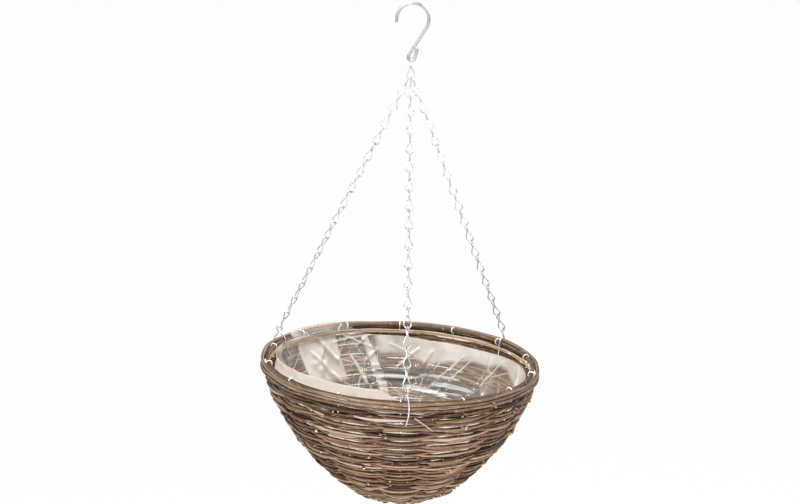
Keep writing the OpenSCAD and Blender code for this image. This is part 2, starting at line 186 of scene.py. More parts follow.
@dataclass(frozen=True)
class BowlForm:
    """The bowl's shape: two arcs that turn about an upright line, dipped and shifted a little.

    The driving sizes are those of the part's source. A point of the wall is given by its distance s down the
    wall from the rim and its distance out from the wall's middle, where the wire ribs run.
    """

    centre: Vector
    rim_d: float = 355.0
    depth: float = 173.0
    base_hole_d: float = 37.0
    wall_lean: float = 14.6
    shoulder_lean: float = 52.0
    rim_dip: float = 0.85
    base_shift: float = 4.5
    rim_rod_d: float = 4.3
    rim_rod_count: int = 3
    rim_top: float = 5.0
    hoop_d: float = 5.0
    hoop_height: float = 1.6
    rib_d: float = 1.8
    rib_bearing: float = 270.6
    rib_count: int = 14
    rod_d: float = 4.0
    seat: float = 0.3
    stack_gap: float = 0.2
    course_count: int = 17
    course_gap: float = 2.6

    @property
    def rim_rod_r(self) -> float:
        """Radius of the ring on which the rods outside the rim lie."""
        return (self.rim_d - self.rim_rod_d) / 2

    @property
    def wall_r(self) -> float:
        """Radius of the wall's middle at the rim."""
        return self.rim_rod_r - self.rim_rod_d / 2 - self.seat - self.rib_d / 2

    @property
    def hoop_r(self) -> float:
        """Radius of the hoop inside the rim."""
        return self.wall_r - (self.hoop_d + self.rib_d) / 2 - self.seat

    @property
    def rim_rod_pitch(self) -> float:
        """Height that each rod outside the rim takes up."""
        return self.rim_rod_d + self.stack_gap

    @property
    def rim_bottom(self) -> float:
        """Height of the underside of the rods outside the rim."""
        return self.rim_top - self.rim_rod_count * self.rim_rod_pitch + self.stack_gap

    @property
    def arcs(self) -> tuple[float, float]:
        """Radii of the wall's arc and of the base's arc.

        Returns:
            The two radii in millimetres.
        """
        run = self.wall_r - self.base_hole_d / 2
        across = wave(self.wall_lean) - wave(self.shoulder_lean)
        down = sway(self.shoulder_lean) - sway(self.wall_lean)
        rest = 1 - sway(self.shoulder_lean)
        share = across * rest - wave(self.shoulder_lean) * down
        wall = (run * rest - wave(self.shoulder_lean) * self.depth) / share
        base = (across * self.depth - down * run) / share
        return float(wall), float(base)

    @property
    def lengths(self) -> tuple[float, float]:
        """Lengths of the wall's arc and of the base's arc.

        Returns:
            The two lengths in millimetres.
        """
        wall_r, base_r = self.arcs
        wall = wall_r * math.radians(self.shoulder_lean - self.wall_lean)
        return wall, base_r * math.radians(90.0 - self.shoulder_lean)

    @property
    def length(self) -> float:
        """Length of the wall from the rim to the hole at the middle of the base."""
        return sum(self.lengths)

    def lean(self, s: Array) -> Array:
        """Works out the wall's lean from the upright.

        Args:
            s: distances down the wall from the rim.

        Returns:
            The leans in degrees.
        """
        wall_r, base_r = self.arcs
        wall, _ = self.lengths
        upper = self.wall_lean + np.degrees(s / wall_r)
        lower = self.shoulder_lean + np.degrees((s - wall) / base_r)
        return np.where(s < wall, upper, lower)

    def wall(self, s: Array, out: Numbers) -> tuple[Array, Array]:
        """Finds points on or beside the wall's middle.

        Args:
            s: distances down the wall from the rim.
            out: distances out from the wall's middle.

        Returns:
            The points' radii and heights about the rim's centre.
        """
        s = np.asarray(s, float)
        a = self.lean(s)
        wall_r, base_r = self.arcs
        wall, _ = self.lengths
        edge, knee = self.wall_lean, self.shoulder_lean
        r_upper = self.wall_r - wall_r * (wave(edge) - wave(a))
        z_upper = -wall_r * (sway(a) - sway(edge))
        r_knee = self.wall_r - wall_r * (wave(edge) - wave(knee))
        z_knee = -wall_r * (sway(knee) - sway(edge))
        r_lower = r_knee - base_r * (wave(knee) - wave(a))
        z_lower = z_knee - base_r * (sway(a) - sway(knee))
        upper = s < wall
        r = np.where(upper, r_upper, r_lower) + out * wave(a)
        z = np.where(upper, z_upper, z_lower) - out * sway(a)
        return r, z

    def place(
        self,
        bearing: Numbers,
        r: Numbers,
        z: Numbers,
        aside: Numbers = 0.0,
    ) -> Array:
        """Puts points of the bowl in the row's frame.

        Args:
            bearing: bearings, counter-clockwise from the right, in degrees.
            r: distances from the bowl's upright line.
            z: heights about the rim's centre.
            aside: distances sideways, counter-clockwise.

        Returns:
            The points in millimetres, one row each.
        """
        share = np.clip(-np.asarray(z, float) / self.depth, 0.0, 1.0)
        dip = self.rim_dip * (1 - share)
        x = r * wave(bearing) - aside * sway(bearing)
        y = r * sway(bearing) + aside * wave(bearing)
        parts = [
            self.centre.x + self.base_shift * share + x * wave(dip),
            self.centre.y + y,
            self.centre.z + z - x * sway(dip),
        ]
        return np.stack(np.broadcast_arrays(*parts), axis=-1)

    def gap_s(self, k: Numbers) -> Array:
        """Finds the gaps between the courses.

        Args:
            k: the numbers of the courses above the gaps, or 0 for the gap above course 1.

        Returns:
            The gaps' distances down the wall from the rim.
        """
        below_rim = self.course_gap / 2 - self.rim_bottom
        wall_r, _ = self.arcs
        lean = math.asin(sway(self.wall_lean) + below_rim / wall_r)
        first = (lean - math.radians(self.wall_lean)) * wall_r
        return first + (self.length - first) * np.asarray(k, float) / self.course_count

    def on_wall(self, bearing: Array, s: Array, out: Numbers) -> Array:
        """Returns points beside the wall's middle in the row's frame, one row each."""
        return self.place(bearing, *self.wall(s, out))

    def outward(self, bearing: Array, s: Array) -> Array:
        """Returns the wall's outward directions, one row each."""
        lean = self.lean(np.asarray(s, float))
        return np.stack([wave(lean) * wave(bearing), wave(lean) * sway(bearing), -sway(lean)], axis=-1)


@dataclass(frozen=True)
class Stretch:
    """Bearings on both sides of a middle one, with soft ends from the inner to the outer distance."""

    middle: float
    outer: float
    inner: float

    def share(self, bearing: Array, drift: Numbers = 0.0) -> Array:
        """Returns 1 within the inner distance of the middle, plus its drift, easing to 0 at the outer one."""
        return ease(np.abs(bearing_gap(bearing, self.middle + drift)), self.outer, self.inner)


class Value:
    """A number on a shader's socket that takes part in Python expressions."""

    def __init__(self, graph: "Graph", socket: Socket) -> None:
        """Wraps one output socket of a graph."""
        self.graph = graph
        self.socket = socket

    def maths(self, operation: str, *others: "Value | float") -> "Value":
        """Adds one Math node.

        Args:
            operation: the node's operation.
            others: the second and third values, where the operation has them.

        Returns:
            The result's socket.
        """
        sockets = dict(enumerate([self, *others]))
        return self.graph.value("ShaderNodeMath", {"operation": operation}, sockets)

    def __add__(self, other: "Value | float") -> "Value":
        """Returns self plus other."""
        return self.maths("ADD", other)

    __radd__ = __add__

    def __mul__(self, other: "Value | float") -> "Value":
        """Returns self times other."""
        return self.maths("MULTIPLY", other)

    __rmul__ = __mul__

    def __sub__(self, other: "Value | float") -> "Value":
        """Returns self minus other."""
        return self.maths("SUBTRACT", other)

    def __rsub__(self, other: float) -> "Value":
        """Returns other minus self."""
        return self.maths("MULTIPLY_ADD", -1.0, other)

    def above(self, low: float, high: float) -> "Value":
        """Eases from 0 at low to 1 at high.

        Args:
            low: where the result is 0. It may lie above high.
            high: where the result is 1.

        Returns:
            The eased value.
        """
        settings = {"interpolation_type": "SMOOTHSTEP"}
        sockets = {"Value": self, "From Min": low, "From Max": high}
        return self.graph.value("ShaderNodeMapRange", settings, sockets)


class Graph:
    """A material's or the world's node tree."""

    def __init__(self, owner: Material | bpy.types.World) -> None:
        """Empties the owner's tree and keeps it.

        Args:
            owner: the material or the world.
        """
        owner.use_nodes = True
        self.tree = owner.node_tree
        self.tree.nodes.clear()

    def node(self, kind: str, settings: dict | None = None, sockets: dict | None = None) -> Node:
        """Adds any node.

        Args:
            kind: the node's type.
            settings: its properties, with a ramp's stops under "stops" as (place, colour).
            sockets: values or links of its input sockets, by name or number. A colour has three numbers.

        Returns:
            The node.
        """
        node = self.tree.nodes.new(kind)
        for name, setting in (settings or {}).items():
            if name == "stops":
                self._set_stops(node.color_ramp, setting)
            else:
                setattr(node, name, setting)
        for name, given in (sockets or {}).items():
            target = node.inputs[name]
            if isinstance(given, Value):
                self.tree.links.new(given.socket, target)
            elif isinstance(given, Socket):
                self.tree.links.new(given, target)
            elif target.type == "RGBA":
                target.default_value = (*given, 1.0)
            else:
                target.default_value = given
        return node

    @staticmethod
    def _set_stops(ramp: bpy.types.ColorRamp, stops: Sequence[tuple[float, Colour]]) -> None:
        """Gives a ramp its stops.

        Args:
            ramp: the ramp.
            stops: each stop's place and colour.
        """
        while len(ramp.elements) < len(stops):
            ramp.elements.new(1.0)
        for element, (place, colour) in zip(ramp.elements, stops, strict=True):
            element.position = place
            element.color = (*colour, 1.0)

    def value(self, kind: str, settings: dict | None = None, sockets: dict | None = None) -> Value:
        """Adds a node and returns its first output as a value."""
        return Value(self, self.node(kind, settings, sockets).outputs[0])

    def colour(self, kind: str, settings: dict | None = None, sockets: dict | None = None) -> Socket:
        """Adds a node and returns its first output as a colour or vector."""
        return self.node(kind, settings, sockets).outputs[0]

    def mix(
        self, share: Value | float, first: Socket | Colour, second: Socket | Colour, blend: str = "MIX"
    ) -> Socket:
        """Mixes two colours.

        Args:
            share: how much of the second colour shows.
            first: a colour or a socket.
            second: a colour or a socket.
            blend: the way in which they mix.

        Returns:
            The mixed colour's socket.
        """
        settings = {"data_type": "RGBA", "blend_type": blend}
        return self.node("ShaderNodeMix", settings, {0: share, 6: first, 7: second}).outputs[2]

    def place(self) -> Socket:
        """Returns the object's own coordinates, in metres."""
        return self.node("ShaderNodeTexCoord").outputs["Object"]

    def noise(self, vector: Socket, scale: float = 1.0, detail: float = 3.0, rough: float = 0.55) -> Value:
        """Returns a noise of a vector, around 0.5."""
        sockets = {"Vector": vector, "Scale": scale, "Detail": detail, "Roughness": rough}
        return self.value("ShaderNodeTexNoise", None, sockets)

    def cells(self, vector: Socket, scale: float = 1.0, feature: str = "F1") -> Value:
        """Returns a distance from the cells that fill the space of a vector."""
        return self.value("ShaderNodeTexVoronoi", {"feature": feature}, {"Vector": vector, "Scale": scale})

    def stretched(self, vector: Socket, along: float, across: float) -> Socket:
        """Returns a rod's own coordinates scaled along and across the rod."""
        return self.colour("ShaderNodeMapping", None, {"Vector": vector, "Scale": (along, across, across)})

    def attribute(self, name: str) -> Node:
        """Returns the node that reads one of the mesh's attributes."""
        return self.node("ShaderNodeAttribute", {"attribute_name": name})

    def number(self, name: str) -> Value:
        """Returns one of the mesh's attributes as a number."""
        return Value(self, self.attribute(name).outputs["Fac"])

    def background_rays(self) -> Value:
        """Tells which rays show the background by itself, in a gloss or through film.

        Returns:
            1 for such a ray and else 0.
        """
        rays = self.node("ShaderNodeLightPath").outputs
        seen = Value(self, rays["Is Camera Ray"])
        for name in ("Is Transmission Ray", "Is Glossy Ray"):
            seen = seen.maths("MAXIMUM", Value(self, rays[name]))
        return seen

    def bump(self, height: Value, strength: float, distance: float) -> Socket:
        """Returns a normal that a height bends.

        Args:
            height: the height, from 0 to 1.
            strength: how strongly the height shows.
            distance: the depth of a full step, in millimetres.

        Returns:
            The normal's socket.
        """
        sockets = {"Height": height, "Strength": strength, "Distance": distance * MM}
        return self.colour("ShaderNodeBump", None, sockets)

    def surface(self, sockets: dict) -> Node:
        """Adds the shader of a plain surface, with these sockets."""
        return self.node("ShaderNodeBsdfPrincipled", None, sockets)

    def blend(self, share: Value, first: Node, second: Node) -> Node:
        """Mixes two shaders, the second in the given share."""
        return self.node("ShaderNodeMixShader", None, {0: share, 1: first.outputs[0], 2: second.outputs[0]})

    def finish(self, shader: Node, kind: str = "ShaderNodeOutputMaterial") -> None:
        """Links a shader to the tree's output."""
        self.node(kind, None, {"Surface": shader.outputs[0]})


@dataclass(frozen=True)
class Finish:
    """Any finish: a named material, whose shader each kind of finish makes in its own way."""

    name: str

    def shader(self, graph: Graph) -> Node:
        """Makes the finish's shader in a material's graph."""
        raise NotImplementedError

    def build(self) -> Material:
        """Makes the material.

        Returns:
            The material.
        """
        material = bpy.data.materials.new(self.name)
        graph = Graph(material)
        graph.finish(self.shader(graph))
        return material


@dataclass(frozen=True)
class BarkFinish(Finish):
    """Dry willow with its bark on.

    The tones run from the darkest rods to the palest. A rod's own coordinates are in metres, with x along it.

    A scale says how fine a pattern is along and across a rod, a shade how far it shifts the tone, a share
    how strongly it shows and an edge where it begins and where it shows fully. The roughness is the least
    one, and a streak adds its spread. A rod's flanks, which turn away from the wall's face into the shade
    between
    rods, get painted shade: a lower tone and a warm deep brown multiplied in.
    """

    tones: tuple[tuple[float, Colour], ...]
    cut_wood: Colour = (0.72, 0.55, 0.36)
    peeled_wood: Colour = (0.46, 0.37, 0.335)
    moss: Colour = (0.2, 0.17, 0.1)
    dust: Colour = (0.5, 0.41, 0.34)
    # Painted shade: the warm deep brown that is multiplied into the flanks between rods.
    painted_crevice_shade: Colour = (0.46, 0.29, 0.18)
    plum: Colour = (0.96, 0.8, 0.84)
    olive: Colour = (0.93, 0.95, 0.8)
    patch_scale: Pair = (22.0, 60.0)
    streak_scale: Pair = (70.0, 1500.0)
    blotch_scale: Pair = (160.0, 300.0)
    fleck_scale: Pair = (260.0, 420.0)
    moss_scale: float = 14.0
    patch_shade: float = 0.6
    streak_shade: float = 0.38
    # How far the painted shade on the flanks lowers the tone.
    painted_shade_drop: float = 0.2
    tint_share: float = 0.8
    moss_share: float = 0.22
    blotch_share: float = 0.4
    fleck_share: float = 0.35
    painted_crevice_shade_share: float = 0.85
    moss_edge: Pair = (0.58, 0.7)
    blotch_edge: Pair = (0.56, 0.72)
    fleck_edge: Pair = (0.2, 0.1)
    crest_edge: Pair = (0.1, 0.8)
    relief: float = 0.45
    relief_strength: float = 0.75
    roughness: float = 0.38
    roughness_spread: float = 0.25
    gloss: float = 0.15

    def shader(self, graph: Graph) -> Node:
        """Makes the shader.

        Args:
            graph: the material's graph.

        Returns:
            The shader.
        """
        grain = graph.attribute("grain").outputs["Vector"]
        tone, hue, cut = graph.number("tone"), graph.number("hue"), graph.number("cut")
        patches = graph.noise(graph.stretched(grain, *self.patch_scale))
        streaks = graph.noise(graph.stretched(grain, *self.streak_scale), detail=4.0)
        blotches = graph.noise(graph.stretched(grain, *self.blotch_scale), detail=2.0)
        flecks = graph.cells(graph.stretched(grain, *self.fleck_scale))
        mossy = graph.noise(graph.place(), self.moss_scale, 2.0).above(*self.moss_edge)
        # Painted shade: 1 on the flanks between rods, where shade falls, and 0 on the faces that turn out of
        # the wall or into the bowl.
        painted_shade = 1.0 - graph.number("crest").above(*self.crest_edge)
        is_cut, is_peeled = cut.above(1.2, 1.8), cut.above(0.3, 0.7) * cut.above(1.5, 1.2)
        layers = (
            (hue.above(0.5, 1.0) * self.tint_share, self.plum, "MULTIPLY"),
            (hue.above(0.5, 0.0) * self.tint_share, self.olive, "MULTIPLY"),
            (mossy * self.moss_share, self.moss, "MIX"),
            (blotches.above(*self.blotch_edge) * self.blotch_share, self.dust, "MIX"),
            (flecks.above(*self.fleck_edge) * self.fleck_share, self.dust, "MIX"),
            (is_cut, self.cut_wood, "MIX"),
            (is_peeled, self.peeled_wood, "MIX"),
            # Painted shade, multiplied into the flanks between rods.
            (painted_shade * self.painted_crevice_shade_share, self.painted_crevice_shade, "MULTIPLY"),
        )
        shade = tone + (patches - 0.5) * self.patch_shade + (streaks - 0.5) * self.streak_shade
        # Painted shade also lowers the tone on the flanks.
        shade = shade - painted_shade * self.painted_shade_drop
        colour = graph.colour("ShaderNodeValToRGB", {"stops": self.tones}, {0: shade})
        for share, paint, blend in layers:
            colour = graph.mix(share, colour, paint, blend)
        height = streaks * 0.6 + patches * 0.4 + flecks.above(0.25, 0.1) * 0.5
        sockets = {
            "Base Color": colour,
            "Roughness": streaks * self.roughness_spread + self.roughness,
            "Specular IOR Level": self.gloss,
            "Normal": graph.bump(height, self.relief_strength, self.relief),
        }
        return graph.surface(sockets)


@dataclass(frozen=True)
class WireFinish(Finish):
    """Bright galvanised wire with faint dull patches.

    The roughness is that of bright wire, and a dull patch adds its own.
    """

    bright: Colour
    dull: Colour
    roughness: float
    metal: float = 0.9
    dull_roughness: float = 0.2
    patch_scale: float = 170.0
    crystal_scale: float = 700.0
    dull_edge: Pair = (0.45, 0.68)
    crystal_height: float = 0.4
    relief: float = 0.08
    relief_strength: float = 0.12

    def shader(self, graph: Graph) -> Node:
        """Makes the shader.

        Args:
            graph: the material's graph.

        Returns:
            The shader.
        """
        patches = graph.noise(graph.place(), self.patch_scale)
        crystals = graph.cells(graph.place(), self.crystal_scale)
        worn = patches.above(*self.dull_edge)
        height = crystals * self.crystal_height + patches
        sockets = {
            "Base Color": graph.mix(worn, self.bright, self.dull),
            "Metallic": self.metal,
            "Roughness": worn * self.dull_roughness + self.roughness,
            "Normal": graph.bump(height, self.relief_strength, self.relief),
        }
        return graph.surface(sockets)


@dataclass(frozen=True)
class FilmFinish(Finish):
    """Clear plastic film, milky where it is folded or creased, with painted white highlights and painted grey
    reflections along its folds.

    A scale says how fine a pattern is, a share how milky it makes the film and an edge where it begins and
    where it shows fully. Creases are given by their cells in a metre and by half of their width as a share of
    a cell. Milky film adds its roughness to that of clear film.
    """

    clear: Colour = (0.8, 0.7, 0.6)
    milky: Colour = (0.93, 0.875, 0.81)
    # The white colours the milky crinkles and the painted highlights; the grey below colours the painted
    # reflections.
    white: Colour = (0.97, 0.97, 0.95)
    painted_grey_reflection: Colour = (0.16, 0.165, 0.155)
    clear_alpha: float = 0.14
    milky_alpha: float = 0.8
    # How opaque the film is under its painted highlights and reflections.
    painted_sheen_alpha: float = 0.9
    haze_scale: float = 16.0
    crinkle_scale: float = 48.0
    haze_share: float = 0.6
    crinkle_share: float = 0.5
    crease_share: float = 0.7
    crinkle_edge: Pair = (0.5, 0.7)
    crinkle_white: float = 0.7
    bend_scale: float = 9.0
    bend: float = 0.03
    long_creases: Pair = (15.0, 0.014)
    short_creases: Pair = (46.0, 0.03)
    hazy_edge: Pair = (0.5, 0.62)
    painted_sheen_edge: Pair = (0.05, 0.9)
    roughness: float = 0.1
    milky_roughness: float = 0.25
    coat: float = 0.6
    coat_roughness: float = 0.05
    gloss: float = 0.9
    relief: float = 1.0
    relief_strength: float = 0.2
    glow_share: float = 0.4
    more_glow: float = 0.45

    def shader(self, graph: Graph) -> Node:
        """Makes the shader.

        Args:
            graph: the material's graph.

        Returns:
            The shader.
        """
        place = graph.place()
        haze = graph.noise(place, self.haze_scale)
        crinkle = graph.noise(place, self.crinkle_scale, 5.0, 0.6)
        lines = self._creases(graph, place, haze)
        share = graph.number("milk") + (haze - 0.5) * self.haze_share + (crinkle - 0.5) * self.crinkle_share
        share = share.above(0.0, 1.0).maths("MAXIMUM", lines * self.crease_share)
        # Painted white highlights and painted grey reflections along the folds.
        painted_sheen = graph.number("painted_sheen")
        begin, full = self.painted_sheen_edge
        # pale marks the painted highlights, deep the painted reflections.
        pale, deep = painted_sheen.above(begin, full), painted_sheen.above(-begin, -full)
        colour = graph.mix(share, self.clear, self.milky)
        colour = graph.mix(crinkle.above(*self.crinkle_edge) * self.crinkle_white, colour, self.white)
        colour = graph.mix(pale, colour, self.white)
        colour = graph.mix(deep, colour, self.painted_grey_reflection)
        alpha = share * (self.milky_alpha - self.clear_alpha) + self.clear_alpha
        alpha = alpha.maths("MAXIMUM", pale.maths("MAXIMUM", deep) * self.painted_sheen_alpha)
        sockets = {
            "Base Color": colour,
            "Roughness": share * self.milky_roughness + self.roughness,
            "Alpha": alpha,
            "Coat Weight": self.coat,
            "Coat Roughness": self.coat_roughness,
            "Specular IOR Level": self.gloss,
            "Normal": graph.bump(crinkle + lines * 0.5, self.relief_strength, self.relief),
        }
        glow = graph.node("ShaderNodeBsdfTranslucent", None, {"Color": colour})
        through = graph.blend(alpha, graph.node("ShaderNodeBsdfTransparent"), glow)
        glow_share = graph.number("glow") * self.more_glow + self.glow_share
        return graph.blend(glow_share, graph.surface(sockets), through)

    def _creases(self, graph: Graph, place: Socket, haze: Value) -> Value:
        """Draws creases as thin lines between cells, bent a little.

        Args:
            graph: the material's graph.
            place: the coordinates.
            haze: the haze, which lets the short creases show.

        Returns:
            1 on a crease and 0 beside it.
        """
        noise = graph.node("ShaderNodeTexNoise", None, {"Vector": place, "Scale": self.bend_scale})
        bend = {0: noise.outputs["Color"], 1: (self.bend, self.bend, self.bend), 2: place}
        bent = graph.colour("ShaderNodeVectorMath", {"operation": "MULTIPLY_ADD"}, bend)
        lines = []
        for scale, width in (self.long_creases, self.short_creases):
            edge = graph.cells(bent, scale, "DISTANCE_TO_EDGE")
            lines.append(edge.above(width, width * 0.3))
        return lines[0].maths("MAXIMUM", lines[1] * haze.above(*self.hazy_edge) * self.crease_share)


@dataclass(frozen=True)
class BackdropFinish(Finish):
    """A plain pale floor that looks white behind the basket and keeps its shadow."""

    name: str = "pale_floor"
    colour: Colour = (0.6, 0.6, 0.59)
    seen_share: float = 0.96

    def shader(self, graph: Graph) -> Node:
        """Makes the shader.

        Args:
            graph: the material's graph.

        Returns:
            The shader.
        """
        matt = graph.node("ShaderNodeBsdfDiffuse", None, {"Color": self.colour})
        white = graph.node("ShaderNodeEmission", None, {"Color": WHITE, "Strength": 1.0})
        return graph.blend(graph.background_rays() * self.seen_share, matt, white)


BARK = BarkFinish(
    "willow_bark",
    (
        (0.0, (0.042, 0.02, 0.01)),
        (0.25, (0.108, 0.06, 0.036)),
        (0.5, (0.215, 0.136, 0.09)),
        (0.75, (0.355, 0.248, 0.178)),
        (1.0, (0.55, 0.43, 0.33)),
    ),
)
RIM_BARK = BarkFinish(
    "rim_bark",
    (
        (0.0, (0.03, 0.015, 0.008)),
        (0.35, (0.125, 0.076, 0.05)),
        (0.7, (0.38, 0.275, 0.21)),
        (1.0, (0.66, 0.53, 0.43)),
    ),
)
PEELED = BarkFinish(
    "peeled_willow",
    (
        (0.0, (0.4, 0.25, 0.13)),
        (0.5, (0.66, 0.5, 0.3)),
        (1.0, (0.8, 0.68, 0.48)),
    ),
    roughness=0.33,
)
HOOK_WIRE = WireFinish("hook_wire", (0.5, 0.505, 0.51), (0.32, 0.325, 0.33), 0.42)
CHAIN_WIRE = WireFinish("chain_wire", (0.69, 0.695, 0.7), (0.42, 0.425, 0.43), 0.36)
# A darker copy of the chain wire, for the front chain alone: painted shade.
SHADED_FRONT_CHAIN_WIRE = WireFinish("front_chain_wire_painted_shade", (0.6, 0.605, 0.61), (0.36, 0.365, 0.37), 0.36)
FRAME_WIRE = WireFinish("frame_wire", (0.92, 0.89, 0.83), (0.72, 0.69, 0.64), 0.34, 0.25)
CLEAR_FILM = FilmFinish("clear_film")


@dataclass
class Rod:
    """One round rod or wire along a route.

    Attributes:
        points: the route, in millimetres in the row's frame.
        radii: the radius at each point.
        tone: how pale the rod is, from 0 to 1.
        peeled: where the bark is missing, from 0 to 1 at each point.
        offset: where the rod's own pattern starts, in metres.
        hue: from 0, olive, to 1, plum.
        outward: the directions in which the rod shows, one row each. Its flanks beside them get painted
            shade.
    """

    points: Array
    radii: Array
    tone: float = 0.5
    peeled: Numbers = 0.0
    offset: float = 0.0
    hue: float = 0.5
    outward: Array | None = None


@dataclass
class RodPiece:
    """Rods or wires that form one piece of the scene.

    The tubes come from one bevelled curve. Each vertex then gets the rod's own coordinates, its tone, and a
    mark for what shows there: 0 for bark, 1 for peeled wood and 2 for a cut end.

    A few more points close each end, a small step apart, at a share of the rod's thickness. The shading runs
    over edges up to the smooth angle, and vertices within the merge gap become one.
    """

    name: str
    bevel: int = 2
    end_points: int = 3
    end_step: float = 0.06
    end_ease: float = 0.9
    smooth_angle: float = 50.0
    merge_gap: float = 0.002
    rods: list[Rod] = field(default_factory=list)

    @property
    def sides(self) -> int:
        """Number of sides of each tube."""
        return 4 + 2 * self.bevel

    def add_wire(self, route: Array, d: float) -> None:
        """Adds a wire of one thickness."""
        self.rods.append(Rod(route, np.full(len(route), d / 2)))

    def _closed(self, rod: Rod) -> tuple[Array, Array, Array]:
        """Adds what closes a rod's two ends.

        Args:
            rod: the rod.

        Returns:
            The points, radii and marks, with the points that close each end.
        """
        head = rod.points[0] - rod.points[1]
        tail = rod.points[-1] - rod.points[-2]
        head, tail = head / np.linalg.norm(head), tail / np.linalg.norm(tail)
        steps = self.end_step * np.arange(1, self.end_points + 1)[:, None]
        points = np.vstack([rod.points[0] + head * steps[::-1], rod.points, rod.points[-1] + tail * steps])
        at = np.arange(self.end_points)
        eased = np.where(at > 0, self.end_ease, 0.0)
        cut = np.where(at < self.end_points - 1, CUT_MARK, 0.0)
        radii = np.concatenate([rod.radii[0] * eased, rod.radii, rod.radii[-1] * eased[::-1]])
        body = np.broadcast_to(rod.peeled, (len(rod.points),))
        marks = np.concatenate([cut, body, cut[::-1]])
        return points, radii, marks

    def _grain(self, rod: Rod, points: Array, radii: Array) -> Array:
        """Works out a rod's own coordinates.

        Args:
            rod: the rod.
            points: its points, with those that close its ends.
            radii: the radius at each of them.

        Returns:
            A row of coordinates in metres for each vertex of its tube, with x along the rod.
        """
        around = np.arange(self.sides) * 2 * math.pi / self.sides
        pieces = np.linalg.norm(np.diff(points, axis=0), axis=1)
        along = np.concatenate([[0.0], np.cumsum(pieces)]) * MM
        grain = np.empty((len(points), self.sides, 3))
        grain[..., 0] = along[:, None] + rod.offset
        grain[..., 1] = radii[:, None] * MM * np.cos(around)
        grain[..., 2] = radii[:, None] * MM * np.sin(around)
        return grain.reshape(-1, 3)

    def build(self, finish: Material) -> Piece:
        """Makes the mesh.

        Args:
            finish: the material.

        Returns:
            The finished object, with its place in its mesh.
        """
        deselect()
        bpy.ops.curve.primitive_nurbs_path_add(radius=1.0, location=(0, 0, 0))
        piece = bpy.context.object
        piece.name = self.name
        curve = piece.data
        curve.dimensions = "3D"
        curve.splines.clear()
        numbers = {name: [] for name in ("grain", "tone", "hue", "crest", "cut")}
        for rod in self.rods:
            points, radii, marks = self._closed(rod)
            spline = curve.splines.new("POLY")
            spline.points.add(len(points) - 1)
            flat = np.hstack([points * MM, np.ones((len(points), 1))])
            spline.points.foreach_set("co", flat.ravel())
            spline.points.foreach_set("radius", radii * MM)
            numbers["grain"].append(self._grain(rod, points, radii))
            numbers["tone"].append(np.full(len(points) * self.sides, rod.tone))
            numbers["hue"].append(np.full(len(points) * self.sides, rod.hue))
            numbers["cut"].append(np.repeat(marks, self.sides))
        curve.bevel_depth = 1.0
        curve.bevel_resolution = self.bevel
        curve.use_fill_caps = False
        bpy.ops.object.convert(target="MESH")
        mesh = piece.data
        # How squarely each vertex faces outwards: the bark paints shade where this is low.
        numbers["crest"] = self._crests(mesh)
        for name, parts in numbers.items():
            write(mesh, name, np.concatenate(parts))
        merge_doubles(self.merge_gap, inside=False)
        bpy.ops.object.shade_smooth_by_angle(angle=math.radians(self.smooth_angle))
        cover(mesh, finish)
        return piece

    def _crests(self, mesh: bpy.types.Mesh) -> list[Array]:
        """Measures how squarely each vertex faces out of the wall or into the bowl.

        Args:
            mesh: the tubes, before their doubled vertices are merged.

        Returns:
            For each rod a number from 0 to 1 for each of its vertices.
        """
        places = np.empty(len(mesh.vertices) * 3, np.float32)
        mesh.vertices.foreach_get("co", places)
        rings = places.reshape(-1, self.sides, 3)
        ends = (self.end_points, self.end_points)
        crests, start = [], 0
        for rod in self.rods:
            end = start + len(rod.points) + sum(ends)
            ring = rings[start:end]
            start = end
            if rod.outward is None:
                crests.append(np.ones(len(ring) * self.sides))
                continue
            way = ring - ring.mean(1, keepdims=True)
            way = way / np.maximum(np.linalg.norm(way, axis=2, keepdims=True), TINY)
            outward = np.pad(rod.outward, (ends, (0, 0)), mode="edge")
            crests.append(np.abs((way * outward[:, None, :]).sum(2)).ravel())
        return crests


@dataclass(frozen=True)
class Settling:
    """How the rods of the weave settle against each other, a little in each round.

    Two rods keep a share of their radii's sum between them. A push mends a share of what is lacking, up to
    the longest push, and a pull brings a rod back towards its home.
    """

    rounds: int = 40
    room_share: float = 0.94
    push: float = 0.45
    longest: float = 0.6
    stiffness: float = 0.22
    s_pull: float = 0.05
    out_pull: float = 0.04
    slit_pull: float = 0.8
    rib_clear: float = 0.1
    rib_push: float = 0.6
    least_gap: float = 1e-6


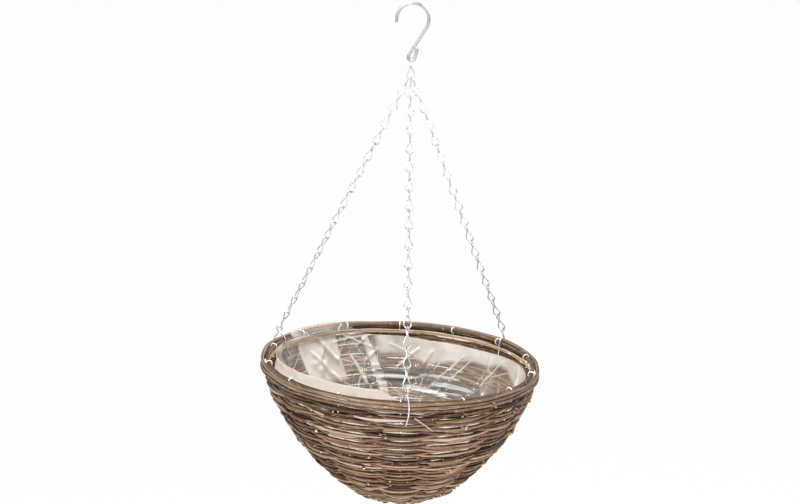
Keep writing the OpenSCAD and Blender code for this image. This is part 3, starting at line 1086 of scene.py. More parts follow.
@dataclass
class Weave:
    """The woven wall: strands of three rods that pass outside one wire rib and inside the next.

    The two strands of a course pass on opposite sides. At each rib the strands outside leave slits between
    them, in which the wire shows, and at the next rib these slits lie half a course lower.

    Attributes:
        rod_step, squeeze: how far apart a strand's rods lie in diameters, and how much closer between ribs.
        pile, inner_pile: how far the middle rod stands out in diameters, and the share of that inside.
        bulges: how far rods stand in or out midway between ribs, as shares of the pile.
        slit, slit_height: a slit's half width as a share of the ribs' spacing, and its height.
        top_shares: place, swing and height of the short strand above course 1, as shares.
        slant: how much lower strands lie inside, all round and in addition in front.
        sight, most_sight, front: the angle from which the slits are seen, the most that counts, and where.
        end_lifts, inner_lift: how far a rod's two ends stand out of the wall, and the share of that inside.
        tones, paler_below: mean and spread of the tones, and how much paler the lowest rods are.
        bare_share, bare_reach, bare_ease: how many rods have a bare patch, its reach and its edge, in steps.
        waves: the most waves in a turn that a rod makes down the wall, out of it and in its thickness.
    """

    form: BowlForm
    steps_per_rib: int = 16
    rod_step: float = 0.9
    squeeze: float = 0.3
    pile: float = 0.4
    inner_pile: float = 0.4
    bulges: Pair = (-0.5, 0.9)
    slit: float = 0.34
    slit_height: float = 3.3
    top_shares: Triple = (0.17, 0.05, 0.56)
    spare_share: float = 0.86
    wander: float = 0.5
    out_wander: float = 0.6
    slant: Pair = (0.95, 0.4)
    sight: float = 12.75
    most_sight: float = 80.0
    front: float = 270.0
    thickness_shares: Triple = (0.82, 1.0, 1.18)
    thickness_wander: float = 0.11
    thickness_limits: Pair = (0.66, 1.34)
    rod_length: float = 520.0
    overlap: float = 26.0
    end_lifts: Pair = (1.7, 1.3)
    inner_lift: float = 0.25
    thick_end: float = 1.16
    taper: float = 0.34
    tip_taper: float = 0.35
    bud_height: float = 0.09
    bud_share: float = 0.14
    tones: Pair = (0.41, 0.24)
    paler_below: float = 0.16
    bare_share: float = 0.06
    bare_reach: Pair = (2.5, 5)
    bare_ease: float = 1.5
    waves: tuple[int, int, int] = (24, 30, 7)
    settling: Settling = Settling()
    seed: int = 11

    def __post_init__(self) -> None:
        """Lays out the lanes, one for each rod of each strand."""
        form = self.form
        self.rng = np.random.default_rng(self.seed)
        self.steps = form.rib_count * self.steps_per_rib
        self.bearings = form.rib_bearing + np.arange(self.steps) * FULL_TURN / self.steps
        near = np.abs(np.arange(self.steps) % self.steps_per_rib / self.steps_per_rib - 0.5)
        self.at_slit = ease(near, 0.5 - self.slit, 0.5 - self.slit * 0.6)
        top = float(form.gap_s(0))
        pitch = float(form.gap_s(1)) - top
        half = (pitch - self.slit_height) / 2
        place, swing, height = self.top_shares
        tracks = self._strand(1, top + place * pitch, swing * pitch, half * height, 2)
        rows = [1, 1]
        for course in range(1, form.course_count + 1):
            for strand in (0, 1):
                home = top + (course - 0.75 + 0.5 * strand) * pitch
                lanes = self._strand(strand, home, pitch / 4, half, 3)
                tracks += lanes
                rows += [course] * len(lanes)
        self.rows = np.array(rows)
        self.home_s, self.home_out, self.radii, self.low, self.high = np.array(tracks).transpose(1, 0, 2)
        self.s, self.out = self.home_s.copy(), self.home_out.copy()
        self._settle()

    def _harmonics(self, size: float, waves: int) -> Array:
        """Returns a smooth random wave around the bowl.

        Args:
            size: its root mean square size.
            waves: the highest number of waves in one turn.

        Returns:
            One number for each step.
        """
        turn = np.radians(np.arange(self.steps) * FULL_TURN / self.steps)
        counts = np.arange(2, waves + 1)
        heights = self.rng.normal(size=len(counts)) * size * math.sqrt(2.0 / len(counts))
        starts = self.rng.uniform(0, 2 * math.pi, len(counts))
        return (heights[:, None] * np.cos(counts[:, None] * turn + starts[:, None])).sum(0)

    def _strand(
        self, strand: int, home: float, swing: float, half: float, count: int
    ) -> list[tuple[Array, ...]]:
        """Lays out one strand before the rods settle.

        A strand lies lower where it passes outside a rib. The strands inside the front wall lie lower still,
        so that someone who looks down on the basket sees through the slits.

        Args:
            strand: 0 to pass outside the first rib, or 1 to pass inside it.
            home: the strand's middle between two ribs, as a distance down the wall.
            swing: how far it moves down outside a rib and up inside one.
            half: half of the height that it fills at a rib.
            count: its number of rods.

        Returns:
            For each lane its distances down the wall, its distances out from the ribs, its radii, and the
            lowest and highest distances that keep the slits beside the ribs open.
        """
        form = self.form
        rod_d = 2 * half / (1 + (count - 1) * self.rod_step)
        lean = float(form.lean(np.array(home)))
        steepest = min(math.tan(math.radians(min(lean + self.sight, self.most_sight))), 1.0)
        all_round, more_in_front = self.slant
        slant = steepest * (all_round + more_in_front * wave(self.bearings - self.front))
        turn = np.arange(self.steps) / self.steps_per_rib
        side = wave(HALF_TURN * (turn + strand))
        middle = sway(HALF_TURN * turn) ** 2
        reach = form.rib_d / 2 + form.seat + rod_d / 2
        spare = half * self.spare_share
        first, last = float(form.gap_s(0)), float(form.gap_s(form.course_count))
        centre = np.clip(home + side * swing, first + min(spare, home - first), last - spare)
        centre = centre + (1 - side) * reach * slant
        crowning = self.pile * rod_d * np.where(side > 0, 1.0, self.inner_pile)
        shares = self.rng.permutation(self.thickness_shares)[:count]
        down, outward, thick = self.waves
        lanes = []
        for lane in range(count):
            row = lane - (count - 1) / 2
            crown = 1 - (2 * row / count) ** 2
            bulge = self.pile * rod_d * self.bulges[(lane + strand) % 2]
            out = side * (reach + crowning * crown) + bulge * middle
            out = out + self._harmonics(self.wander * self.out_wander, outward) * middle
            s = centre + row * rod_d * self.rod_step * (1 - self.squeeze * middle)
            s = s + self._harmonics(self.wander, down)
            thickness = shares[lane] + self._harmonics(self.thickness_wander, thick)
            r = rod_d / 2 * np.clip(thickness, *self.thickness_limits)
            lanes.append((s, out, r, centre - half + r, centre + half - r))
        return lanes

    def _settle(self) -> None:
        """Pushes rods that overlap apart, and away from the ribs, until they lie against each other."""
        rule = self.settling
        near = np.abs(self.rows[:, None] - self.rows[None, :]) <= 1
        first, second = np.nonzero(np.triu(near, 1))
        at_rib = np.arange(self.steps) % self.steps_per_rib
        at_rib = np.minimum(at_rib, self.steps_per_rib - at_rib) <= 1
        side = np.where(self.home_out >= 0, 1.0, -1.0)
        clear = self.form.rib_d / 2 + rule.rib_clear
        middle = (self.low + self.high) / 2
        low, high = np.minimum(self.low, middle), np.maximum(self.high, middle)
        for _ in range(rule.rounds):
            ds = self.s[first] - self.s[second]
            do = self.out[first] - self.out[second]
            apart = np.hypot(ds, do) + rule.least_gap
            room = (self.radii[first] + self.radii[second]) * rule.room_share
            lack = np.maximum(0.0, room - apart) * rule.push
            for track, way in ((self.s, ds), (self.out, do)):
                push = np.zeros_like(track)
                np.add.at(push, first, way / apart * lack)
                np.add.at(push, second, -way / apart * lack)
                track += np.clip(push, -rule.longest, rule.longest)
            for track in (self.s, self.out):
                track += rule.stiffness * (np.roll(track, 1, 1) + np.roll(track, -1, 1) - 2 * track)
            self.s += rule.s_pull * (self.home_s - self.s)
            self.out += rule.out_pull * (self.home_out - self.out)
            held = np.clip(self.s, low, high)
            self.s += self.at_slit * rule.slit_pull * (held - self.s)
            need = (clear + self.radii) * side
            short = at_rib[None, :] & (self.out * side < clear + self.radii)
            self.out = np.where(short, self.out + rule.rib_push * (need - self.out), self.out)

    def _rods_of(self, lane: int) -> list[Rod]:
        """Cuts a lane into rods that follow one another.

        Args:
            lane: the lane's number.

        Returns:
            The rods.
        """
        r, _ = self.form.wall(self.s[lane], 0.0)
        around = 2 * math.pi * float(r.mean())
        count = max(1, round(around / self.rod_length))
        length = self.steps / count
        lap = max(3, round(self.overlap / around * self.steps))
        start = self.rng.uniform(0, self.steps)
        rods = []
        for k in range(count):
            a = round(start + k * length)
            b = round(start + (k + 1) * length) + lap
            rods.append(self._rod(lane, np.arange(a, b + 1) % self.steps, lap))
        return rods

    def _rod(self, lane: int, at: Array, lap: int) -> Rod:
        """Makes one rod of a lane.

        Args:
            lane: the lane's number.
            at: the steps of the lane that the rod takes up.
            lap: the number of steps in which it lies beside the rod before it, and beside the next.

        Returns:
            The rod. Its points run from its thick end to its tip or back.
        """
        t = np.linspace(0.0, 1.0, len(at))
        left = np.arange(len(at)) / lap
        right = left[::-1]
        start_lift, end_lift = self.end_lifts
        lift = start_lift * ease(left, 1.0, 0.0) - end_lift * ease(right, 1.0, 0.0)
        facing = np.where(self.out[lane, at] > 0, 1.0, -self.inner_lift)
        buds = 1 + self.bud_height * (self.rng.random(len(at)) > 1 - self.bud_share)
        tip = 1 - self.tip_taper * ease(right, 1.2, 0.0)
        radii = self.radii[lane, at] * (self.thick_end - self.taper * t) * tip * buds
        points = self.form.on_wall(self.bearings[at], self.s[lane, at], self.out[lane, at] + lift * facing)
        outward = self.form.outward(self.bearings[at], self.s[lane, at])
        if self.rng.random() < 0.5:
            points, radii, outward = points[::-1], radii[::-1], outward[::-1]
        paler = self.paler_below * float(self.s[lane, at[0]]) / self.form.length
        tone = float(np.clip(self.rng.normal(*self.tones) + paler, 0.0, 1.0))
        peeled = self._bare_patches(len(at))
        start_at, hue = float(self.rng.uniform(0, GRAIN_RANGE)), float(self.rng.uniform(0, 1))
        return Rod(points, radii, tone, peeled, start_at, hue, outward)

    def _bare_patches(self, count: int) -> Array:
        """Draws where a rod has lost its bark.

        Args:
            count: the number of its points.

        Returns:
            From 0 to 1 at each of them.
        """
        bare = np.zeros(count)
        if self.rng.random() < self.bare_share:
            middle = self.rng.uniform(0, count)
            reach = self.rng.uniform(*self.bare_reach)
            bare = ease(np.abs(np.arange(count) - middle), reach, reach - self.bare_ease)
        return bare

    def build(self, finish: Material) -> list[Piece]:
        """Makes one piece for each course.

        Args:
            finish: the bark.

        Returns:
            The pieces.
        """
        pieces = []
        for course in range(1, self.form.course_count + 1):
            piece = RodPiece(f"willow_course_{course:02d}")
            for lane in np.nonzero(self.rows == course)[0]:
                piece.rods += self._rods_of(int(lane))
            made = piece.build(finish)
            nodes = [f"course_{course:02d}"] + (["inner_courses"] if course == 1 else [])
            dress(made, Slot.WILLOW, *nodes)
            pieces.append(made)
        return pieces


def dress(piece: Piece, slot: Slot, *nodes: str, body: str = "basket") -> None:
    """Puts a piece on its body and hides the frame's nodes that it stands for.

    Args:
        piece: the piece.
        slot: not used.
        nodes: the nodes that it stands for.
        body: the body that carries it.
    """
    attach(piece, body)
    if nodes:
        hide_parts(*nodes)
    LOG.info("%s rides on %s with %d faces", piece.name, body, len(piece.data.polygons))


@dataclass
class Twigs:
    """Cut stubs of side twigs, a bare strip and a loose twig end on the weave.

    The places of the stubs are (bearing, distance down the wall, diameter). The strip and the loose end stand
    out of the skin of the weave and have their radii, each with how much it changes towards the ends.
    """

    form: BowlForm
    stubs: tuple[Triple, ...] = (
        (297, 31, 6.2),
        (264, 44, 2.8),
        (262, 40, 2.2),
        (231, 53, 3.6),
        (251, 103, 3.4),
        (232, 22, 2.4),
        (243, 16, 2.0),
        (309, 2, 2.8),
        (278, 75, 2.2),
    )
    stub_shares: tuple[float, ...] = (1.25, 1.12, 1.0, 1.0, 1.0)
    stub_lean: float = 0.5
    bare_strip: Triple = (252.0, 275.0, 18.0)
    loose_end: tuple[Pair, Pair] = ((276.0, 13.0), (283.5, 31.0))
    others: int = 60
    other_d: Pair = (1.6, 3.0)
    most_lean: float = 1.6
    highest: float = 14
    lowest_share: float = 0.8
    skin: float = 5.2
    sunk: float = 1.5
    stub_out: Pair = (0.5, 0.35)
    strip_points: int = 24
    strip_out: Pair = (1.0, 1.6)
    strip_r: Pair = (1.9, 1.1)
    strip_wave: Pair = (0.8, 300)
    loose_points: int = 12
    loose_out: Pair = (1.2, 1.0)
    loose_r: Pair = (0.85, 0.3)
    seed: int = 31

    def _stub(self, bearing: float, s: float, d: float, turn: float) -> Rod:
        """Cuts one side twig short.

        Args:
            bearing: where it grows.
            s: its distance down the wall.
            d: its diameter.
            turn: how far it leans along the wall for each millimetre that it stands out.

        Returns:
            The stub, with its cut end outwards.
        """
        least, per_d = self.stub_out
        out = np.linspace(self.skin - self.sunk, self.skin + least + d * per_d, len(self.stub_shares))
        along = np.degrees((out - out[0]) * turn / (self.form.wall_r - s * 0.5))
        points = self.form.on_wall(bearing + along, np.full(len(out), s), out)
        return Rod(points, d / 2 * np.array(self.stub_shares), 0.45, 0.0, s)

    def _bare(self) -> Rod:
        """Lays the bare strip, which sinks into the weave at both of its ends.

        Returns:
            The strip.
        """
        start, end, s = self.bare_strip
        (out, sink), (r, thinner), (height, turn) = self.strip_out, self.strip_r, self.strip_wave
        t = np.linspace(0, 1, self.strip_points)
        ends = np.abs(2 * t - 1)
        bearing = np.linspace(start, end, self.strip_points)
        points = self.form.on_wall(bearing, s + height * sway(t * turn), self.skin + out - sink * ends**3)
        return Rod(points, r - thinner * ends**2, 1.0, 1.0, 3.0)

    def _loose(self) -> Rod:
        """Lays the loose twig end, which stands off a little more towards its tip.

        Returns:
            The twig end.
        """
        (b0, s0), (b1, s1) = self.loose_end
        (out, more), (r, thinner) = self.loose_out, self.loose_r
        t = np.linspace(0, 1, self.loose_points)
        points = self.form.on_wall(b0 + (b1 - b0) * t, s0 + (s1 - s0) * t, self.skin + out + more * t)
        return Rod(points, r - thinner * t, 0.9, 0.0, 5.0)

    def build(self, bark: Material) -> None:
        """Makes the twigs as one piece.

        Args:
            bark: their finish.
        """
        rng = np.random.default_rng(self.seed)
        piece = RodPiece("willow_twigs")
        for bearing, s, d in self.stubs:
            piece.rods.append(self._stub(bearing, s, d, self.stub_lean))
        for _ in range(self.others):
            bearing = rng.uniform(0, FULL_TURN)
            s = rng.uniform(self.highest, self.form.length * self.lowest_share)
            d, turn = rng.uniform(*self.other_d), rng.uniform(-self.most_lean, self.most_lean)
            piece.rods.append(self._stub(bearing, s, d, turn))
        piece.rods += [self._bare(), self._loose()]
        dress(piece.build(bark), Slot.WILLOW)


@dataclass
class Rim:
    """The rods of the rim: a stack outside the ribs, a hoop inside their loops and peeled rods below it."""

    form: BowlForm
    hoop_lay: tuple[float, float, float, float] = (70.0, 359.0, 0.35, 0.12)
    peeled_d: float = 4.0
    peeled_rods: tuple[Triple, ...] = (
        (0.7, 1.7, 0.8),
        (-1.1, 1.5, 0.35),
        (-2.5, 1.4, 0.65),
    )
    peeled_stretch: float = 357.0
    peeled_rough: float = 0.3
    pale_back: Stretch = Stretch(87.5, 72.5, 64.5)
    darkest: float = 0.2
    tone_range: float = 0.35
    end_lift: float = 0.5
    rough: float = 1.0
    lengths: tuple[tuple[tuple[float, float, float, float, float], ...], ...] = (
        ((205.0, 185.0, 0.0, 1.1, 0.0), (26.0, 184.0, 0.0, 1.06, 0.0)),
        (
            (250.0, 150.0, 0.05, 0.97, 0.0),
            (138.0, 118.0, 0.0, 0.95, 0.0),
            (160.0, -146.0, 0.25, 0.62, 1.0),
            (12.0, 140.0, -0.25, 0.6, 0.85),
        ),
        (
            (172.0, 128.0, 0.0, 0.95, 0.0),
            (292.0, 112.0, 0.0, 0.97, 0.0),
            (20.0, 156.0, 0.25, 0.62, 0.0),
            (178.0, -160.0, -0.25, 0.62, 0.9),
        ),
    )
    steps: int = 240
    seed: int = 5

    def __post_init__(self) -> None:
        """Starts the random draws."""
        self.rng = np.random.default_rng(self.seed)

    def _ring(
        self,
        r: float,
        z: float,
        d: float,
        start: float,
        stretch: float,
        tone: float,
        rough: float = 0.5,
        pale: float = 0.0,
    ) -> Rod:
        """Lays one rod along a ring.

        Args:
            r: the ring's radius.
            z: its height about the rim's centre.
            d: the rod's diameter at its thick end.
            start: the bearing of the thick end.
            stretch: how far round the rod goes, in degrees.
            tone: how pale it is.
            rough: how far it wanders.
            pale: how much of its bark is missing at the back of the bowl.

        Returns:
            The rod.
        """
        count = max(8, round(self.steps * stretch / FULL_TURN))
        t = np.linspace(0.0, 1.0, count)
        turn = start + t * stretch
        waves = self.rng.uniform(0, FULL_TURN, 6)
        drift = sum(wave(turn * (3 + 2 * i) + waves[i]) for i in range(6)) / 6
        drift_out = sum(wave(turn * (4 + 3 * i) - waves[i]) for i in range(6)) / 6
        ends = ease(np.minimum(t, 1 - t) * stretch, 3.0, 0.0)
        points = self.form.place(turn, r + rough * drift_out + ends * self.end_lift, z + rough * 1.5 * drift)
        radii = d / 2 * (1.05 - 0.2 * t) * (1 + 0.05 * drift)
        bare = pale * self.pale_back.share(turn)
        outward = self.form.outward(turn, np.zeros_like(turn))
        start_at, hue = float(self.rng.uniform(0, GRAIN_RANGE)), float(self.rng.uniform(0.2, 0.8))
        return Rod(points, radii, tone, bare, start_at, hue, outward)

    def build(self, bark: Material, peeled: Material) -> None:
        """Makes the rim's pieces.

        Args:
            bark: the finish of rods with their bark on.
            peeled: the finish of peeled rods.
        """
        form = self.form
        for k in range(form.rim_rod_count):
            z = form.rim_top - form.rim_rod_d / 2 - k * form.rim_rod_pitch
            piece = RodPiece(f"willow_rim_rod_{k + 1}", bevel=3)
            for start, stretch, lift, share, pale in self.lengths[k]:
                tone = self.darkest + self.tone_range * self.rng.random()
                ring = (form.rim_rod_r, z + lift * form.rim_rod_d, form.rim_rod_d * share)
                piece.rods.append(self._ring(*ring, start, stretch, tone, self.rough * share, pale))
            dress(piece.build(bark), Slot.RIM, f"rim_rod_{k + 1}")
        hoop = RodPiece("willow_hoop", bevel=3)
        hoop.rods.append(self._ring(form.hoop_r, form.hoop_height, form.hoop_d, *self.hoop_lay))
        dress(hoop.build(bark), Slot.RIM, "hoop")
        z = form.rim_bottom + self.peeled_d / 2
        r = form.wall_r + z * math.tan(math.radians(form.wall_lean)) - form.rib_d / 2 - form.seat
        inner = RodPiece("peeled_rim_rods", bevel=3)
        for lift, d, tone in self.peeled_rods:
            ring = (r - d / 2 - form.stack_gap, z + lift, d)
            start = 300.0 * self.rng.random()
            inner.rods.append(self._ring(*ring, start, self.peeled_stretch, tone, self.peeled_rough))
        dress(inner.build(peeled), Slot.PEELED, "inner_rim_rod")


@dataclass
class WireFrame:
    """The wire ribs, each hooked round the hoop and run down the wall to the base ring.

    A rib bows out between the rods where the weave leaves a slit.
    """

    form: BowlForm
    loop_tip: float = 250.0
    loop_step: float = 10.0
    wall_start: float = 8.0
    wall_step: float = 2.0
    base_ring_r: float = 12.0
    bow: float = 2.5

    def build(self, wire: Material) -> None:
        """Makes the ribs.

        Args:
            wire: their finish.
        """
        form = self.form
        loop_r = (form.hoop_d + form.rib_d) / 2 + form.seat
        turn = np.arange(self.loop_tip, -1.0, -self.loop_step)
        loop_radius = form.hoop_r + loop_r * wave(turn)
        loop_z = form.hoop_height + loop_r * sway(turn)
        s = np.arange(self.wall_start, form.length, self.wall_step)
        end_r = self.base_ring_r + form.rib_d + form.seat
        first = float(form.gap_s(0))
        pitch = float(form.gap_s(1)) - first
        for k in range(form.rib_count):
            bearing = form.rib_bearing + k * FULL_TURN / form.rib_count
            in_slit = np.clip(wave(FULL_TURN * ((s - first) / pitch - 0.5 * (k % 2))), 0.0, 1.0)
            wall_radius, wall_z = form.wall(s, self.bow * in_slit**2)
            radius = np.concatenate([loop_radius, wall_radius, [end_r]])
            z = np.concatenate([loop_z, wall_z, [-form.depth]])
            name = f"{k + 1:02d}"
            piece = RodPiece(f"wire_rib_{name}", bevel=2)
            piece.add_wire(form.place(bearing, radius, z), form.rib_d)
            dress(piece.build(wire), Slot.FRAME, f"rib_{name}")


@dataclass(frozen=True)
class LinkForm:
    """A double-loop link bent from one wire, hanging down from the middle of its top bend.

    The upper loop lies across the lower one, and the wire crosses itself at the neck.
    """

    length: float
    upper_w: float
    lower_w: float
    wire_d: float
    neck_share: float = 0.44

    def _half(self, loop_r: float, reach: float, neck_x: float) -> Array:
        """Lays out one loop beside its neck.

        Args:
            loop_r: the bend's radius, to the wire's middle.
            reach: the distance from the neck to the far side of the bend.
            neck_x: half of the distance between the wires at the neck.

        Returns:
            Points (sideways, away from the neck) from one side of the neck round to the other.
        """
        centre = reach - loop_r
        span = math.hypot(neck_x, centre)
        lean = math.degrees(math.asin(loop_r / span) - math.atan(neck_x / centre))
        turn = np.linspace(-lean, 180.0 + lean, 17)
        arc = np.stack([loop_r * wave(turn), centre + loop_r * sway(turn)], axis=1)
        side = np.array([[neck_x, 0.0], (arc[0] * 0.5 + np.array([neck_x, 0.0]) * 0.5)])
        other = side[::-1] * np.array([-1.0, 1.0])
        return np.vstack([side, arc, other])

    def route(self) -> Array:
        """Lays out the wire's middle line.

        Returns:
            Its points, from one of its ends to the other.
        """
        neck_z = self.length * self.neck_share
        neck_x = self.wire_d * 0.62
        lap = self.wire_d * 0.8
        upper = self._half((self.upper_w - self.wire_d) / 2, neck_z, neck_x)
        lower = self._half((self.lower_w - self.wire_d) / 2, self.length - neck_z, neck_x)
        first = np.stack([np.zeros(len(upper)), upper[:, 0], upper[:, 1] - neck_z], axis=1)
        second = np.stack([lower[:, 0], np.zeros(len(lower)), -neck_z - lower[:, 1]], axis=1)
        start = first[0] + np.array([0.0, 0.0, -lap])
        end = second[-1] + np.array([0.0, 0.0, lap])
        return rounded(np.vstack([start, first, second, end]), 1)


@dataclass
class Chains:
    """The three chains of double-loop links, the top link that carries them and the hooks at their ends."""

    form: BowlForm
    swing_z: float
    wire_d: float = 1.6
    upper_w: float = 8.0
    lower_w: float = 10.8
    link_count: int = 16
    seat_turn: float = 48.0
    top_wire_d: float = 2.0
    top_upper_w: float = 9.2
    top_lower_w: float = 11.0
    top_length: float = 26.0
    end_d: float = 1.8
    end_eye_height: float = 19.0
    end_eye_r: float = 3.2
    end_eye_turn: Pair = (-50.0, 240.0)
    end_eye_step: float = 12.0
    end_turn: float = 25.0
    fuller: float = 1.03
    names: tuple[str, str, str] = ("left", "right", "front")
    bearings: Triple = (158.5, 37.2, 272.7)

    def _top(self, chain: int) -> Array:
        """Hangs a chain's first link in the top link, pulled round its wire by the chain.

        Args:
            chain: which chain.

        Returns:
            The middle of the first link's top bend.
        """
        apart = self.fuller * (self.top_wire_d + self.wire_d) / 2 + self.form.seat
        seat_r = (self.top_lower_w - self.top_wire_d) / 2 - apart
        turn = (-self.seat_turn, self.seat_turn, 0.0)[chain]
        seat = np.array([seat_r * sway(turn), 0.0, self.swing_z - seat_r * wave(turn)])
        pull = self._eye(chain) - seat
        return seat - np.array([0.0, apart * pull[1] / np.linalg.norm(pull), 0.0])

    def _eye(self, chain: int) -> Array:
        """Returns the middle of a chain's end hook's eye."""
        return self.form.place(self.bearings[chain], self.form.wall_r, self.end_eye_height)

    def _eye_normal(self, chain: int) -> Array:
        """Returns the normal of the plane in which a chain's end hook lies."""
        bearing = self.bearings[chain] + self.end_turn
        return np.array([-sway(bearing), wave(bearing), 0.0])

    def _links(self, chain: int) -> tuple[LinkForm, list[Matrix]]:
        """Lays out a chain.

        Args:
            chain: which chain.

        Returns:
            The form of its links, and each link's place as a matrix in millimetres.
        """
        top, eye = self._top(chain), self._eye(chain)
        span = np.linalg.norm(eye - top)
        way = (eye - top) / span
        span += (self.end_d + self.wire_d) / 2 + self.form.seat - self.end_eye_r
        spare = self.wire_d + self.form.seat
        length = (span + (self.link_count - 1) * spare) / self.link_count
        side = np.cross([0.0, 1.0, 0.0], way)
        side /= np.linalg.norm(side)
        third = np.cross(way, side)
        aim = self._eye_normal(chain)
        aim = aim - aim.dot(way) * way
        twist = math.degrees(math.atan2(np.cross(side, aim).dot(way), side.dot(aim)))
        twist = twist - 180.0 if twist > 90.0 else twist + 180.0 if twist < -90.0 else twist
        places = []
        for k in range(self.link_count):
            turn = twist * k / self.link_count
            x = wave(turn) * side + sway(turn) * third
            y = np.cross(-way, x)
            at = top + k * (length - spare) * way
            columns = np.column_stack([x, y, -way, at])
            places.append(Matrix([*columns.tolist(), [0.0, 0.0, 0.0, 1.0]]))
        return LinkForm(length, self.upper_w, self.lower_w, self.wire_d), places

    def _end_route(self, chain: int) -> Array:
        """Lays out a chain's end hook.

        Args:
            chain: which chain.

        Returns:
            Its wire's middle line, from its tip inside the bowl to its eye.
        """
        form = self.form
        clear = form.seat + self.end_d / 2
        weave_s = float(form.gap_s(1))
        reach = form.rib_d / 2 + form.seat + form.rod_d + clear
        out_r, out_z = form.wall(np.array(weave_s), reach)
        in_r, in_z = form.wall(np.array(weave_s), -reach)
        outside = form.rim_d / 2 + clear
        inside = form.hoop_r - form.hoop_d / 2 - clear
        neck_z = self.end_eye_height - self.end_eye_r - self.end_d
        neck = self.end_d / 2 + form.stack_gap
        outline = np.array(
            [
                [form.wall_r - neck, neck_z - self.end_d],
                [inside, form.rim_top + clear],
                [inside, form.hoop_height - form.hoop_d],
                [float(in_r) - form.seat, float(in_z) + self.end_d],
                [float(in_r), float(in_z)],
                [float(out_r), float(out_z)],
                [float(out_r) + self.end_d, float(out_z) + self.end_d],
                [outside + form.seat, form.rim_bottom],
                [outside, form.rim_top],
                [form.wall_r + neck + form.seat, neck_z - self.end_d],
                [form.wall_r + neck, neck_z],
            ]
        )
        turn = np.arange(*self.end_eye_turn, self.end_eye_step)
        eye_r = form.wall_r + self.end_eye_r * wave(turn)
        eye = np.stack([eye_r, self.end_eye_height + self.end_eye_r * sway(turn)], axis=1)
        flat = np.vstack([rounded(outline, 3), eye])
        aside = (flat[:, 0] - form.wall_r) * math.tan(math.radians(self.end_turn))
        return form.place(self.bearings[chain], flat[:, 0], flat[:, 1], aside)

    @staticmethod
    def _copies(pattern: Piece, places: list[Matrix], name: str) -> Piece:
        """Copies one link along a chain and joins the copies.

        Args:
            pattern: the link, hanging from the origin. It is used up.
            places: the places of the copies, in millimetres.
            name: the joined piece's name.

        Returns:
            The joined piece.
        """
        copies = []
        for place in places:
            copy = pattern.copy()
            copy.data = pattern.data.copy()
            move = place.copy()
            move.translation *= MM
            copy.data.transform(move)
            bpy.context.collection.objects.link(copy)
            copies.append(copy)
        bpy.data.objects.remove(pattern)
        deselect()
        for copy in copies:
            copy.select_set(True)
        bpy.context.view_layer.objects.active = copies[0]
        bpy.ops.object.join()
        joined = bpy.context.object
        joined.name = name
        return joined

    def build(self, wire: Material, shaded: Material) -> None:
        """Makes the links, the top link and the end hooks.

        Args:
            wire: the finish of the two chains at the sides.
            shaded: the finish of the front chain, the chain wire made darker as painted shade.
        """
        for chain, name in enumerate(self.names):
            form, places = self._links(chain)
            pattern = RodPiece("link_pattern", bevel=3)
            pattern.add_wire(form.route(), form.wire_d)
            # The front chain gets the darker copy of the wire: painted shade.
            links = self._copies(pattern.build(shaded if name == "front" else wire), places, f"links_{name}")
            dress(links, Slot.CHAIN, f"chain_{name}")
            end = RodPiece(f"rim_hook_{name}", bevel=3)
            end.add_wire(self._end_route(chain), self.end_d)
            dress(end.build(wire), Slot.CHAIN, f"end_hook_{name}")
        top = LinkForm(self.top_length, self.top_upper_w, self.top_lower_w, self.top_wire_d)
        piece = RodPiece("double_loop_top_link", bevel=4)
        low_z = self.swing_z - (self.top_lower_w - self.top_wire_d) / 2
        piece.add_wire(top.route() + np.array([0.0, 0.0, low_z + self.top_length]), self.top_wire_d)
        dress(piece.build(wire), Slot.CHAIN, "top_link", body="top_link")


@dataclass
class Base:
    """The tight start of the weave under the base ring."""

    form: BowlForm
    step: float = 12.0
    pitch_share: float = 0.95
    middle_r: float = 0.6
    wander: float = 0.25
    taper: Pair = (1.08, 0.85)

    def build(self, bark: Material) -> None:
        """Makes the coil.

        Args:
            bark: its finish.
        """
        form = self.form
        outer = form.base_hole_d / 2 - form.course_gap / 2 - form.rod_d / 2
        turns = outer / (form.rod_d * self.pitch_share)
        turn = np.arange(0.0, turns * FULL_TURN, self.step)
        r = outer * (1 - turn / (turns * FULL_TURN)) + self.middle_r
        z = -form.depth - form.rib_d / 2 - form.seat - form.rod_d / 2
        points = form.place(turn, r, z + self.wander * wave(turn * 1.7))
        radii = np.linspace(*self.taper, len(turn)) * form.rod_d / 2
        piece = RodPiece("willow_base_coil")
        piece.rods.append(Rod(points, radii, 0.45))
        dress(piece.build(bark), Slot.WILLOW, "base_disc")


@dataclass
class FilmGrid:
    """The points that the film is made of, in rows from its edge to the middle of the base.

    Attributes:
        bearing: their bearings in degrees.
        s: their distances down the wall from the rim.
        from_edge: their distances down the wall from the film's own edge.
        stand: how far the film stands in from its smooth shape there.
        milk: how milky it is there.
        big, small: distances from the middles of its large and small facets, as shares of their spacing.
    """

    bearing: Array
    s: Array
    from_edge: Array
    stand: Array
    milk: Array
    big: Array
    small: Array


